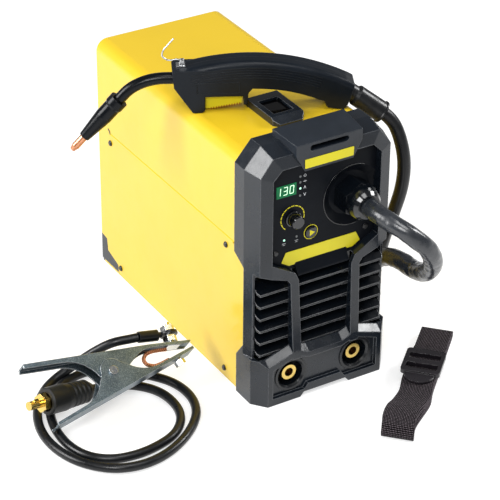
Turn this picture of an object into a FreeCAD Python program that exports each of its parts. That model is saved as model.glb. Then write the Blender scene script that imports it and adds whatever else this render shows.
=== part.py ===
import FreeCAD, Part
import math
import os

# MIG welding machine, with its torch, leads, earth clamp and carrying strap.
# Frame: millimetres, +Z up, front of the machine towards -Y, origin on the
# floor under the middle of the case.

# Fits
seat_gap = 0.3
fit_gap = 0.1
pin_gap = 0.05

# Case
bezel_half = 80.0
case_half = 78.0
case_top = 272.0
case_corner = 13.0
case_foot = 5.0
case_front = -122.0
case_rear = 168.0
sheet = 1.2
tuck = 5.5
seam_height = 172.0
seam_gap = 0.2
flange_deep = 15.0
pan_sheet = 1.5
pan_wall = 24.0
tail_deep = 39.0
tail_step = 14.0
tail_tall = 34.0
tail_low = 13.0

# Bezel
front = -170.0
bezel_top = 285.0
bezel_shoulder = 264.0
bezel_chamfer = 62.0
ridge_y = -161.7
ridge_half = 74.5
ridge_top = 280.0
ridge_shoulder = 262.0
ridge_chamfer = 61.0
brow_y = -165.0
waist_y = -140.0
waist_low = 63.0
waist_high = 154.0
waist_front = -152.5
waist_inner = 74.3
skirt_y = -127.0
skirt_high = 46.0
bar_inner_low = 29.0
bar_inner_high = 31.0
bar_outer_low = 39.0
bar_outer_high = 40.5
bar_knee = 138.0
bar_back = -160.2
opening_half = 62.0
opening_top = 267.0
opening_chamfer = 10.0
opening_corner = 163.0
nose_side = 47.0
nose_peak = 58.0
nose_middle = 52.0
nose_corner_x = 67.0
nose_corner_y = -155.0
nose_bevel = 8.0
nose_rise = 6.0
nose_floor = 3.0
recess_deep = 4.5
recess_wall = 4.0
pocket_floor = 48.0

# Louvres
louvre_count = 6
louvre_first = 57.3
louvre_pitch = 14.2
louvre_front = -159.5
louvre_deep = 17.0
louvre_rise = 8.0
louvre_thick = 2.2
louvre_corner = 1.9
louvre_nip = 3.5

# Control panel
panel_y = -155.5
panel_thick = 3.0
panel_flange = 2.0
panel_rim = 4.0
dish_x = 35.0
dish_z = 212.0
dish_mouth = 33.0
dish_floor = 24.0
dish_deep = 5.5
dish_wall = 2.5
display_low = 231.0
display_high = 244.0
display_left = -53.0
display_right = -30.5
lamp_radius = 1.2
lamp_x = -26.0
lamp_heights = (249.0, 242.6, 236.0, 228.0)
mode_lamps = ((-43.4, 182.5), (-29.0, 182.7))
knob_x = -34.0
knob_z = 205.0
knob_radius = 8.5
knob_tall = 12.0
shaft_radius = 3.0
button_x = -12.4
button_z = 183.0
button_radius = 6.4
button_proud = 2.0
button_travel = 1.2
panel_screws = ((52.0, 170.5), (-53.0, 170.0))

# Hood
hood_rear_half = 41.0
hood_front_half = 37.6
hood_foot_half = 27.5
hood_rear_top = 292.0
hood_front_top = 289.5
hood_foot = 260.0
hood_cheek = 277.5
hood_seat = 274.0
flange_below_hood = 4.0
flange_room = 0.5
hood_y = -166.0
hood_rear = -127.0
slot_half = 22.0
slot_low = 280.5
slot_high = 286.5
slot_deep = 20.0

# Sockets
socket_x = 38.5
socket_z = 29.0
socket_radius = 18.7
socket_proud = 1.0
socket_deep = 26.0
well_radius = 14.0
well_deep = 17.0
contact_radius = 8.5
contact_bore = 4.75
contact_back = 3.5
contact_long = 22.0

# Gland and torch lead
gland_tube = 15.0
gland_flats = 34.0
gland_y = -171.0
nut_front = -186.0
nut_rear_radius = 17.5
nut_front_radius = 13.0
liner_radius = 4.0
sleeve_radius = 10.0
lead_radius = 7.0

# Screws
screw_head = 3.2
screw_head_tall = 1.8
screw_shank = 1.75
screw_hole = 2.1
screw_long = 7.0
left_high_screws = ((-103.0, 161.0), (141.0, 161.0))
low_screws = ((-100.5, 12.0), (124.0, 12.0))
right_high_screws = ((-103.0, 244.0), (141.0, 244.0))

# Inspection window
window_y = -67.0
window_half_x = 18.0
window_half_y = 30.0
window_tall = 8.0
pane_half_x = 11.5
pane_half_y = 15.5
pane_thick = 2.0

# Spool door
door_front = -95.0
door_rear = 150.0
door_low = 150.0
door_high = 238.0
door_gap = 0.5
door_flange = 8.0
hinge_out = 3.3
hinge_z = 149.6
hinge_radius = 2.6
hinge_pin = 1.3
hinge_leaf = 10.0
hinge_long = 30.0
hinge_places = (-60.0, 115.0)
pull_y = 27.5
pull_z = 222.0

# Divider, spool and wire feeder
divider_x = 8.0
divider_top = 268.0
divider_front = -122.0
divider_rear = 160.0
shelf_z = 146.0
wire_x = 35.0
spool_y = 88.0
spool_z = 200.0
spool_radius = 50.0
spool_hub = 24.0
spool_bore = 8.2
spool_left = 14.0
spool_right = 58.0
spool_flange = 3.0
spool_wound = 42.0
feeder_y = -20.0
roll_width = 10.0
drive_radius = 13.0
press_radius = 8.0
wire_gap = 1.0
roll_shaft = 3.0
feeder_front = -45.0
feeder_rear = 5.0
feeder_low = 183.0
feeder_high = 241.0
feeder_thick = 8.0
arm_pivot_y = -40.0
arm_pivot_z = 233.0
arm_radius = 5.0
guide_radius = 3.0

# Power board
board_gap = 8.0
board_long = 220.0
board_thick = 1.6
sink_tall = 64.0
sink_pitch = 9.0

# Fan and rear panel
fan_x = -22.0
fan_z = 78.0
fan_half = 46.0
fan_deep = 25.0
fan_bore = 43.0
fan_hub = 17.0
fan_blades = 7
rear_thick = 3.0
switch_x = -38.0
switch_z = 228.0
rocker_tilt = 9.0
inlet_z = 186.0

# Torch, drawn along its own handle and then laid on the lid
torch_spot = (-63.3, -17.3)
torch_turn = -26.77
handle_half = 14.0
handle_round = 6.0
chin_low = 0.3
head_top = 46.4
trigger_front = 9.6
trigger_rear = 46.2
trigger_roof = 17.2
trigger_half = 7.0
trigger_pivot_s = 15.0
trigger_pivot_h = 19.0
trigger_pin = 1.5
trigger_lift = 3.5
neck_radius = 6.0
neck_route = ((-12.0, 33.0), (-37.0, 33.0), (-51.0, 30.0), (-65.5, 22.5), (-79.0, 7.1))
nozzle_long = 54.0
nozzle_radius = 8.8
nozzle_tip = 5.6
nozzle_collar = 9.6
tip_radius = 4.0
tip_long = 68.0
hook_s = -13.0
hook_h = 51.0
hook_pin = 1.0
hook_wire = 0.8
hook_route = ((-14.5, 52.4), (-18.4, 53.6), (-26.2, 51.8), (-33.0, 56.5), (-31.9, 63.0), (-21.1, 75.9))
boot_start = (146.0, 20.0)
boot_lean = -36.8
boot_radius = 11.0
boot_core = 8.8
boot_long = 52.4

# Routes of the torch lead, from the gland to the coil and from the boot to the coil
sleeve_route = ((35, -186, 212), (35, -209, 212), (48, -236, 204), (68, -245, 184), (85, -230, 155),
                (95, -206, 129), (100, -179, 115), (100.5, -151, 114), (99, -124, 105), (98, -100, 82),
                (98, -77, 50), (97, -50, 24), (96, -15, 10.3), (93.5, 28, 10.2), (95.5, 70, 10.2), (95, 109, 10.2),
                (95, 148, 10.2))
upper_route = ((119.5, -113, 236), (122.5, -120, 210), (121, -121, 182), (117, -116, 154),
               (113.5, -108, 126), (114, -98, 98), (118, -86, 70), (122, -68, 43), (125, -42, 20),
               (126, -14, 9.8), (124, 14, 8.6), (120.5, 40, 9.2), (118.6, 63.5, 12), (125, 80, 15.4),
               (137, 91.5, 18.8))
upper_lead_in = 16.7
coil_centre = (183.0, 190.0)
coil_start_radius = 88.0
coil_step = 4.5
coil_layer = 14.7
coil_quarters = 11
coil_lead_in = 42.0
floor_gap = 0.2

# Earth lead, clamp and plug
earth_radius = 4.75
earth_route = ((-181, -48, 47), (-198, -36, 33), (-214, -25, 16),
               (-234, -22, 5), (-254, -36, 5), (-272, -59, 5), (-284, -86, 5), (-288, -113, 5),
               (-285, -140, 5), (-274, -166, 5), (-253, -188, 5), (-226, -196.5, 5), (-198, -193, 5),
               (-171, -180, 5), (-149, -162, 5), (-134, -142, 5), (-127, -116, 5), (-131, -88, 5),
               (-146, -65, 5), (-167, -44, 5), (-189, -27, 5), (-214, -27, 5), (-236, -37, 5),
               (-253, -53, 5), (-266, -75, 5), (-273, -103, 5), (-274, -132, 5), (-266, -157, 5),
               (-247, -174, 5), (-221, -179, 5), (-196, -176, 5), (-174, -168, 5), (-157, -151, 5),
               (-149, -130, 5), (-149, -105, 5), (-157, -85, 5), (-174, -69, 5.6))
earth_lead_in = 13.8
plug_rear = (-215.5, -67.4, 12.8)
plug_turn = (-0.947, -0.228, 0.225)
plug_rear_radius = 12.0
plug_tail_radius = 7.0
plug_tail_long = 8.0
plug_front_radius = 14.0
plug_long = 60.0
plug_collar = 17.0
plug_collar_long = 7.0
plug_pin = 4.5
plug_pin_long = 15.0
clamp_pivot_at = (-201.7, -77.1, 27.4)
clamp_turn = 12.05
clamp_rise = 3.5
clamp_tilt = 36.0
clamp_wide = 20.0
clamp_sheet = 1.6
clamp_nest = 0.3
clamp_pin = 3.0
clamp_head = 13.3
clamp_upper_edge = ((96.0, -11.0), (53.0, 5.7), (-78.5, 50.3))
clamp_lower_edge = ((-84.0, -21.0), (93.0, -21.0))
clamp_stud_x = 79.0
clamp_stud = 4.0
clamp_bolt_x = 75.0
clamp_bolt = 3.0
clamp_pad = 14.0
clamp_pad_tall = 12.4
lug_out = 12.0
lug_long = 34.0
lug_radius = 6.0
braid_radius = 2.0
braid_route = ((70.5, -5.9, 10), (64, -3.4, 10), (55, -0.4, 10), (47, 0.2, 10), (41, -3.8, 10), (41.2, -10, 10),
               (48, -15.4, 10), (57, -16.6, 10), (66.5, -16.6, 10))

# Strap
strap_near = (13.0, -284.6)
strap_turn = 43.5
strap_long = 200.0
strap_wide = 34.0
strap_thick = 1.7
strap_pitch = 2.3
strap_layers = 6
buckle_at = 99.0
buckle_long = 42.0
buckle_wide = 41.0
buckle_tall = 5.0
buckle_bar = 4.0
buckle_slot = 10.0
tongue_radius = 15.5


def v(x, y, z):
    return FreeCAD.Vector(x, y, z)


def box(x0, x1, y0, y1, z0, z1):
    return Part.makeBox(x1 - x0, y1 - y0, z1 - z0, v(x0, y0, z0))


def rod(radius, start, end):
    run = end - start
    return Part.makeCylinder(radius, run.Length, start, run)


def along(axis, level, u, w):
    if axis == "x":
        return v(level, u, w)
    if axis == "y":
        return v(u, level, w)
    return v(u, w, level)


def rounded_wire(points, radii, closed):
    """Straight runs between the points, joined by tangent arcs of the given radii."""
    edges = []
    count = len(points)
    last = None
    first = None
    for i in range(count):
        here = points[i]
        start = here
        end = here
        turning = closed or 0 < i < count - 1
        if turning and radii[i] > 0:
            back = (points[i - 1] - here).normalize()
            on = (points[(i + 1) % count] - here).normalize()
            half = back.getAngle(on) / 2
            reach = radii[i] / math.tan(half)
            middle = (back + on).normalize() * (radii[i] / math.sin(half) - radii[i])
            start = here + back * reach
            end = here + on * reach
        if last is not None and (start - last).Length > 1e-6:
            edges.append(Part.makeLine(last, start))
        if end is not start:
            edges.append(Part.Arc(start, here + middle, end).toShape())
        if first is None:
            first = start
        last = end
    if closed and (first - last).Length > 1e-6:
        edges.append(Part.makeLine(last, first))
    return Part.Wire(edges)


def face_of(axis, level, points):
    corners = [along(axis, level, point[0], point[1]) for point in points]
    radii = [point[2] if len(point) > 2 else 0 for point in points]
    return Part.Face(rounded_wire(corners, radii, True))


def prism(axis, low, high, points):
    """An outline drawn across one axis, with rounded corners where a radius is given."""
    return face_of(axis, low, points).extrude(along(axis, high - low, 0, 0))


def ruled(outlines):
    """A faceted solid through outlines, each given as its Y and its (x, z) corners."""
    wires = [Part.makePolygon([v(x, y, z) for x, z in points + points[:1]]) for y, points in outlines]
    return Part.makeLoft(wires, True, True)


def turned(profile, origin, direction):
    """A solid of revolution from (radius, height) corners, its height along a direction."""
    wire = Part.makePolygon([v(r, 0, h) for r, h in profile + profile[:1]])
    solid = Part.Face(wire).revolve(v(0, 0, 0), v(0, 0, 1), 360)
    solid.Placement = FreeCAD.Placement(origin, FreeCAD.Rotation(v(0, 0, 1), direction))
    return solid


def hexagon(flats, start, end):
    """A hexagonal bar between two points."""
    corner = flats / math.sqrt(3)
    turns = [math.radians(60 * i + 30) for i in range(7)]
    wire = Part.makePolygon([v(corner * math.cos(a), corner * math.sin(a), 0) for a in turns])
    bar = Part.Face(wire).extrude(v(0, 0, (end - start).Length))
    bar.Placement = FreeCAD.Placement(start, FreeCAD.Rotation(v(0, 0, 1), end - start))
    return bar


def mirrored(shape):
    return shape.mirror(v(0, 0, 0), v(1, 0, 0))


def joined(shapes):
    return shapes[0].multiFuse(shapes[1:]).removeSplitter()


def both_ways(points):
    """The corners of one side, from the middle outwards, followed by their mirror images."""
    return points + [(-point[0],) + tuple(point[1:]) for point in reversed(points)]


def save(name, shape):
    shape.exportStep(os.path.join("parts", name + ".step"))


def case_outline(grow):
    """The lid's cross-section from the floor up, grown all round."""
    half = case_half + grow
    top = case_top + grow
    corner = case_corner + grow
    return [(half, 0), (half, top, corner), (-half, top, corner), (-half, 0)]


def screw(head, direction):
    """A pan-head screw whose head seats at a point and whose shank runs along a direction."""
    cap = turned([(0, 0), (screw_head, 0), (screw_head, 0.8), (screw_head - 1, screw_head_tall),
                  (0, screw_head_tall)], head, direction * -1)
    return cap.fuse(rod(screw_shank, head, head + direction * screw_long))


def bezel_profile(half, shoulder, chamfer, top):
    return [(half, pocket_floor), (half, shoulder), (chamfer, top),
            (-chamfer, top), (-half, shoulder), (-half, pocket_floor)]


def bezel_ring():
    """The bezel's upper body: a plain collar, then facets to a ridge, then the front band."""
    collar = bezel_profile(bezel_half, bezel_shoulder, bezel_chamfer, bezel_top)
    ridge = bezel_profile(ridge_half, ridge_shoulder, ridge_chamfer, ridge_top)
    band = bezel_profile(opening_half, opening_top - opening_chamfer,
                         opening_half - opening_chamfer, opening_top)
    return joined([prism("y", waist_y, case_front, collar),
                   ruled([(waist_y, collar), (ridge_y, ridge)]),
                   ruled([(ridge_y, ridge), (brow_y, band)])])


def opening_outline(inset):
    """The panel opening's corners above the bars, drawn in by an inset."""
    half = opening_half - inset
    low = opening_corner + inset
    return [(bar_inner_high + 4 - inset, bar_knee + 9 + inset), (half, low),
            (half, opening_top - opening_chamfer - inset / 2),
            (half - opening_chamfer + inset / 2, opening_top - inset)]


def front_mask():
    """The front's outline: the frame above, running down into the two bars."""
    edge = bezel_half + 1
    outer = [(bar_outer_low, pocket_floor), (bar_outer_high, bar_knee - 2),
             (bar_outer_high + 3.5, bar_knee + 3), (ridge_half, waist_high - 2),
             (edge, waist_high - 2), (edge, bezel_top + 1)]
    inner = [(bar_inner_low, pocket_floor - 1), (bar_inner_high, bar_knee)] + opening_outline(0)
    mask = prism("y", front, waist_front, both_ways(outer))
    return mask.cut(prism("y", front - 1, waist_front + 1, both_ways(inner)))


def bars():
    """The two bars' raked front, seen from the side."""
    half = bar_outer_high + 5
    foot = nose_peak - 1
    rake = [(waist_front, pocket_floor), (front, pocket_floor), (front, foot),
            (brow_y, bar_knee), (brow_y, bar_knee + 20), (waist_front, bar_knee + 20)]
    return prism("x", -half, half, rake)


def nose_outline(rise):
    """The lower front's outline, its top edge raised by rise."""
    return both_ways([(bar_inner_low - 9, nose_middle + rise), (bar_inner_low + 5, nose_peak + rise),
                      (nose_corner_x, nose_side + rise), (bezel_half, nose_side + rise), (bezel_half, 0)])


def nose():
    """The lower front, with a bevelled top, nipped corners and a recessed socket face."""
    bevel_y = front + nose_bevel
    blank = prism("y", bevel_y, skirt_y, nose_outline(nose_rise))
    blank = blank.fuse(ruled([(bevel_y, nose_outline(nose_rise)), (front, nose_outline(0))]))
    plan = both_ways([(nose_corner_x, front - 1), (bezel_half, nose_corner_y), (bezel_half, skirt_y + 1)])
    blank = blank.common(prism("z", -1, nose_peak + nose_rise + 1, plan))
    recess = both_ways([(bar_inner_low - 9, nose_middle - nose_rise), (bar_inner_low + 5, nose_peak - nose_rise),
                        (opening_half, nose_side - nose_rise + 1), (opening_half, 8), (24, 8), (20, 14)])
    notch = both_ways([(25, case_foot), (30, -1)])
    blank = blank.cut(prism("y", front - 1, front + recess_deep, recess))
    blank = blank.cut(prism("y", front - 1, front + 20, notch))
    for side in (-1, 1):
        centre = v(side * socket_x, front - 1, socket_z)
        blank = blank.cut(rod(socket_radius + fit_gap, centre, centre + v(0, socket_deep, 0)))
    return blank


def bezel_hollows():
    """What is open behind the bezel: sockets, louvre pocket, sheet seat and panel seat."""
    back = case_front + 1
    chest = front + recess_deep + recess_wall
    side_seat = box(-case_half - fit_gap, case_half + fit_gap, waist_y - tuck + 1.5, back,
                    nose_floor, seam_height + seam_gap + 1)
    lid_seat = prism("y", case_front - tuck - seat_gap, back, case_outline(fit_gap))
    high = box(-case_half - 5, case_half + 5, case_front - tuck - 1, back, -1, waist_high)
    return [box(-70, 70, chest, skirt_y - 21, case_foot + nose_floor, nose_side - 4),
            box(-waist_inner, waist_inner, skirt_y - 21.5, waist_y - tuck + 2, nose_floor, bar_knee + 9),
            box(-waist_inner, waist_inner, bar_back, waist_y - tuck + 2, pocket_floor, bar_knee + 9),
            box(-opening_half - panel_rim - 1, opening_half + panel_rim + 1, waist_front, back,
                bar_knee + 8, hood_seat - flange_below_hood + flange_room),
            side_seat, lid_seat.cut(high)]


def front_bezel():
    ring = bezel_ring()
    upper = ring.fuse(bars()).common(front_mask())
    rear = ring.common(box(-bezel_half - 1, bezel_half + 1, waist_front, case_front + 1, 0, bezel_top + 1))
    shell = joined([upper, rear, nose()])
    waist = [(case_front, waist_high + 10), (waist_y, waist_high), (waist_y, waist_low),
             (skirt_y, skirt_high), (skirt_y, -1), (case_front + 1, -1), (case_front + 1, waist_high + 10)]
    shell = shell.cut(prism("x", -bezel_half - 1, bezel_half + 1, waist))
    shell = shell.cut(hood_blank(fit_gap))
    for hollow in bezel_hollows():
        shell = shell.cut(hollow)
    return shell


def hood_blank(grow):
    """The hood's solid: sides that taper forward and an apron that narrows downwards."""
    apron_back = panel_y - seat_gap
    side = [(hood_y - grow, hood_foot - grow), (apron_back + grow, hood_foot - grow),
            (apron_back + grow, hood_seat), (hood_rear + grow, hood_seat),
            (hood_rear + grow, hood_rear_top), (hood_y - grow, hood_front_top)]
    plan = both_ways([(hood_front_half + grow, hood_y - grow), (hood_rear_half + grow, hood_rear + grow)])
    face = both_ways([(hood_foot_half + grow, hood_foot - grow), (hood_front_half + grow, hood_cheek),
                      (hood_rear_half + 2, hood_cheek), (hood_rear_half + 2, hood_rear_top + 1)])
    blank = prism("x", -hood_rear_half - 2, hood_rear_half + 2, side)
    blank = blank.common(prism("z", hood_foot - 1, hood_rear_top + 1, plan))
    return blank.common(prism("y", hood_y - 1, hood_rear + 1, face))


def front_hood():
    ends = (slot_high - slot_low) / 2 - fit_gap
    slot = both_ways([(slot_half, slot_low, ends), (slot_half, slot_high, ends)])
    return hood_blank(0).cut(prism("y", hood_y - 1, hood_y + slot_deep, slot))


def louvre_grille():
    """One moulding: sloping blades that rise to the back, on two ribs behind the bars."""
    back = louvre_front + louvre_deep
    half = waist_inner - seat_gap
    plan = both_ways([(half - louvre_corner, louvre_front), (half, louvre_front + louvre_nip),
                      (half, back)])
    lean = louvre_thick / 2
    shapes = []
    for i in range(louvre_count):
        z = louvre_first + i * louvre_pitch
        section = [(louvre_front, z - lean), (back, z + louvre_rise - lean),
                   (back, z + louvre_rise + lean), (louvre_front, z + lean)]
        shapes.append(prism("x", -half, half, section))
    fan = shapes[0].multiFuse(shapes[1:]).common(prism("z", pocket_floor, waist_high, plan))
    rib_y = back - 8
    ribs = [box(side - 4, side + 4, rib_y, back, pocket_floor, bar_knee + 8)
            for side in (-bar_outer_low + 5, bar_outer_low - 5)]
    return joined([fan] + ribs)


def control_panel():
    """The recessed panel with its rear flange, the gland's conical dish and a brow below."""
    back = panel_y + panel_thick
    face = prism("y", panel_y, back, both_ways(opening_outline(seat_gap)))
    rim = opening_half + panel_rim
    flange = box(-rim, rim, back, back + panel_flange, bar_knee + 11, hood_seat - flange_below_hood)
    floor = panel_y + dish_deep
    boss = rod(dish_mouth - 3, v(dish_x, back, dish_z), v(dish_x, floor + dish_wall, dish_z))
    brow = [(panel_y, bar_knee + 14), (panel_y - 6, bar_knee + 4.5), (panel_y - 6, bar_knee + 2.5),
            (back, bar_knee + 9.5), (back, bar_knee + 14)]
    body = joined([face, flange, boss, prism("x", -bar_inner_high + 1, bar_inner_high - 1, brow)])
    dish = turned([(0, 0), (dish_mouth, 0), (dish_floor, dish_deep), (0, dish_deep)],
                  v(dish_x, panel_y, dish_z), v(0, 1, 0))
    body = body.cut(dish)
    for x, z, radius in panel_holes():
        body = body.cut(rod(radius, v(x, panel_y - 1, z), v(x, floor + dish_wall + 1, z)))
    return body.cut(box(display_left - fit_gap, display_right + fit_gap, panel_y - 1, back + panel_flange + 1,
                        display_low - fit_gap, display_high + fit_gap))


def panel_holes():
    holes = [(dish_x, dish_z, gland_tube + fit_gap), (knob_x, knob_z, shaft_radius + pin_gap),
             (button_x, button_z, button_radius + fit_gap)]
    holes += [(lamp_x, z, lamp_radius + fit_gap) for z in lamp_heights]
    holes += [(x, z, lamp_radius + fit_gap) for x, z in mode_lamps]
    holes += [(x, z, screw_hole) for x, z in panel_screws]
    return holes


def display_window():
    back = panel_y + panel_thick + panel_flange
    return box(display_left, display_right, panel_y - 0.5, back, display_low, display_high)


def indicator_lamps():
    back = panel_y + panel_thick + panel_flange
    lamps = []
    for x, z in [(lamp_x, z) for z in lamp_heights] + list(mode_lamps):
        lamps.append(rod(lamp_radius, v(x, panel_y - 0.4, z), v(x, back, z)))
    return Part.makeCompound(lamps)


def amp_knob():
    face = v(knob_x, panel_y - seat_gap, knob_z)
    cap = turned([(0, 0), (knob_radius, 0), (knob_radius, 2), (knob_radius - 1, 2.5),
                  (knob_radius - 1.6, knob_tall - 1), (knob_radius - 2.6, knob_tall), (0, knob_tall)],
                 face, v(0, -1, 0))
    grips = []
    for i in range(12):
        turn = math.radians(30 * i)
        middle = v(math.cos(turn), 0, math.sin(turn)) * (knob_radius - 0.3)
        grips.append(rod(0.9, face + middle + v(0, -3, 0), face + middle + v(0, -knob_tall - 1, 0)))
    cap = cap.cut(Part.makeCompound(grips))
    return cap.fuse(rod(shaft_radius, face, v(knob_x, panel_y + 9, knob_z)))


def select_button():
    """A domed cap that slides in its hole, with a collar behind the panel."""
    face = v(button_x, panel_y, button_z)
    behind = panel_thick + panel_flange + button_travel / 4
    return turned([(0, -button_proud), (button_radius - 1.5, -button_proud), (button_radius, 0.6 - button_proud),
                   (button_radius, behind), (button_radius + 1.5, behind), (button_radius + 1.5, behind + 1.5),
                   (0, behind + 1.5)], face, v(0, 1, 0))


def sheet_tail(x0, x1):
    """The lower rear corner, where the side sheets are cut away over the rear moulding."""
    return prism("x", x0, x1, [(case_rear + 1, tail_tall + 2), (case_rear - tail_step + 2, tail_tall),
                               (case_rear - tail_step, tail_low + 7), (case_rear - tail_deep + 2, tail_low),
                               (case_rear - tail_deep, case_foot - 1), (case_rear + 1, case_foot - 1)])


def screw_holes(shape, places, side):
    """Clearance holes through a side sheet or flange."""
    for y, z in places:
        shape = shape.cut(rod(screw_hole, v(side * (case_half + 1), y, z), v(side * (case_half - 6), y, z)))
    return shape


def side_panel_left():
    low = waist_y - tuck + 2
    panel = prism("x", -case_half, -case_half + sheet, [(low, case_foot), (case_rear, case_foot),
                                                         (case_rear, seam_height - seam_gap),
                                                         (low, seam_height - seam_gap)])
    for y in (case_front + 1, case_rear - 6):
        panel = panel.cut(box(-case_half - 1, -case_half + sheet + 1, y, y + 5, seam_height - 2.5, seam_height))
    panel = panel.cut(sheet_tail(-case_half - 1, -case_half + sheet + 1))
    return screw_holes(panel, left_high_screws + low_screws, -1)


def top_cover():
    """The lid: both flanks and the top in one sheet, with a joggled flange inside each flank."""
    y0 = case_front - tuck
    skin = prism("y", y0, case_rear, case_outline(0)).cut(prism("y", y0 - 1, case_rear + 1, case_outline(-sheet)))
    right_seam = door_high + 12
    skin = skin.cut(box(-case_half - 1, -case_half + sheet + 1, y0 - 1, case_rear + 1, -1, seam_height))
    skin = skin.cut(box(case_half - sheet - 1, case_half + 1, y0 - 1, case_rear + 1, -1, right_seam))
    outer = case_half - sheet - fit_gap
    flange_front = case_front + 2
    flange_rear = case_rear - 8
    parts = [skin]
    for side, seam in ((-1, seam_height), (1, right_seam)):
        reach = sorted((side * outer, side * (outer - sheet)))
        step = sorted((side * (case_half - 0.2), side * (outer - sheet)))
        parts.append(box(reach[0], reach[1], flange_front, flange_rear, seam - flange_deep + 3, seam + 2))
        parts.append(box(step[0], step[1], flange_front, flange_rear, seam + 0.4, seam + 2))
    cover = joined(parts)
    cover = screw_holes(cover, left_high_screws, -1)
    cover = screw_holes(cover, right_high_screws, 1)
    return cover.cut(box(-pane_half_x - fit_gap, pane_half_x + fit_gap, window_y - pane_half_y - fit_gap,
                         window_y + pane_half_y + fit_gap, case_top - 5, case_top + 1))


def side_panel_right():
    low = waist_y - tuck + 2
    seam = door_high + 12 - seam_gap
    inner = case_half - sheet
    panel = prism("x", inner, case_half, [(low, case_foot), (case_rear, case_foot), (case_rear, seam),
                                          (case_front - tuck, seam), (case_front - tuck, seam_height),
                                          (low, seam_height)])
    panel = panel.cut(box(inner - 1, case_half + 1, door_front, door_rear, door_low, door_high))
    panel = panel.cut(sheet_tail(inner - 1, case_half + 1))
    return screw_holes(panel, right_high_screws + low_screws, 1)


def base_pan():
    """A folded tray whose front tongue steps up over the bezel's floor."""
    outer = case_half - sheet - fit_gap
    rear = case_rear - rear_thick - seat_gap
    start = skirt_y + 0.5
    tray = box(-outer, outer, start, rear, 0, pan_wall)
    tray = tray.cut(box(-outer + pan_sheet, outer - pan_sheet, start - 1, rear + 1, pan_sheet, pan_wall + 1))
    tongue_low = nose_floor + 0.2
    tongue = box(-60, 60, skirt_y - 20, start + pan_sheet, tongue_low, tongue_low + pan_sheet)
    riser = box(-60, 60, start, start + pan_sheet, 0, tongue_low + pan_sheet)
    tray = joined([tray, tongue, riser])
    return screw_holes(screw_holes(tray, low_screws, -1), low_screws, 1)


def case_screws():
    screws = [screw(v(side * case_half, y, z), v(-side, 0, 0))
              for side, places in ((-1, left_high_screws + low_screws), (1, right_high_screws + low_screws))
              for y, z in places]
    screws += [screw(v(x, panel_y, z), v(0, 1, 0)) for x, z in panel_screws]
    return Part.makeCompound(screws)


def socket_bodies():
    """Moulded insulators with a deep well round each contact and a nose that fills its hole."""
    bodies = []
    for side in (-1, 1):
        mouth = v(side * socket_x, front + recess_deep - socket_proud, socket_z)
        bodies.append(turned([(contact_radius + fit_gap, well_deep), (well_radius, well_deep), (well_radius, 2),
                              (well_radius + 2, 0), (socket_radius, 0), (socket_radius, socket_deep),
                              (contact_radius + fit_gap, socket_deep)], mouth, v(0, 1, 0)))
    return Part.makeCompound(bodies)


def socket_contacts():
    """Brass bushes bored for the cable plugs, each with a shoulder behind the insulator."""
    contacts = []
    for side in (-1, 1):
        mouth = v(side * socket_x, front + recess_deep + contact_back, socket_z)
        behind = socket_deep - socket_proud - contact_back
        contacts.append(turned([(contact_bore, 0), (contact_radius, 0), (contact_radius, behind),
                                (contact_radius + 2, behind), (contact_radius + 2, behind + 3), (0, behind + 3),
                                (0, contact_long), (contact_bore, contact_long)], mouth, v(0, 1, 0)))
    return Part.makeCompound(contacts)


def torch_gland_body():
    """The threaded fitting: a hexagon in front of the dish, a tube through it and a guide behind."""
    floor = panel_y + dish_deep
    seat = v(dish_x, floor, dish_z)
    tube = rod(gland_tube, v(dish_x, floor + dish_wall + 8, dish_z), seat)
    body = joined([tube, hexagon(gland_flats, seat, v(dish_x, gland_y, dish_z))])
    return body.cut(rod(liner_radius, v(dish_x, 0, dish_z), v(dish_x, gland_y - 1, dish_z)))


def torch_gland_nut():
    """The domed clamping nut that the lead's sleeve comes out of."""
    deep = gland_y - nut_front
    return turned([(liner_radius, 0), (nut_rear_radius, 0), (nut_rear_radius, deep * 0.4),
                   (nut_rear_radius - 1.5, deep * 0.75), (nut_front_radius, deep), (liner_radius, deep)],
                  v(dish_x, gland_y, dish_z), v(0, -1, 0))


def window_frame():
    """The raised frame round the pane, its front bar thicker and sloped."""
    low = case_top
    top = case_top + window_tall
    profile = [(window_y - window_half_y, low), (window_y - window_half_y, low + 3),
               (window_y - window_half_y + 9, top), (window_y + window_half_y - 3, top),
               (window_y + window_half_y, low + 4), (window_y + window_half_y, low)]
    frame = prism("x", -window_half_x, window_half_x, profile)
    plan = both_ways([(window_half_x - 5, window_y - window_half_y), (window_half_x, window_y - window_half_y + 6),
                      (window_half_x, window_y + window_half_y)])
    frame = frame.common(prism("z", low, top, plan))
    light = box(-pane_half_x, pane_half_x, window_y - pane_half_y, window_y + pane_half_y, low - 1, top + 1)
    return frame.cut(light)


def window_pane():
    level = case_top + window_tall - pane_thick - 1
    body = box(-pane_half_x + fit_gap, pane_half_x - fit_gap, window_y - pane_half_y + fit_gap,
               window_y + pane_half_y - fit_gap, case_top - sheet, level)
    return body


def hinge_axis():
    return case_half + hinge_out


def leaf(y, low, high):
    """A hinge leaf lying on the outside of the side sheets."""
    return box(case_half, case_half + sheet, y - hinge_long / 2, y + hinge_long / 2, low, high)


def knuckle(y, share):
    """One share of a hinge's barrel, joined to its leaf: the door's is the middle third."""
    third = hinge_long / 6
    end = hinge_long / 2
    spans = [(-third + pin_gap * 2, third - pin_gap * 2)] if share else [(-end, -third), (third, end)]
    tubes = []
    for low, high in spans:
        tubes.append(rod(hinge_radius, v(hinge_axis(), y + low, hinge_z), v(hinge_axis(), y + high, hinge_z)))
    return tubes


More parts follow.
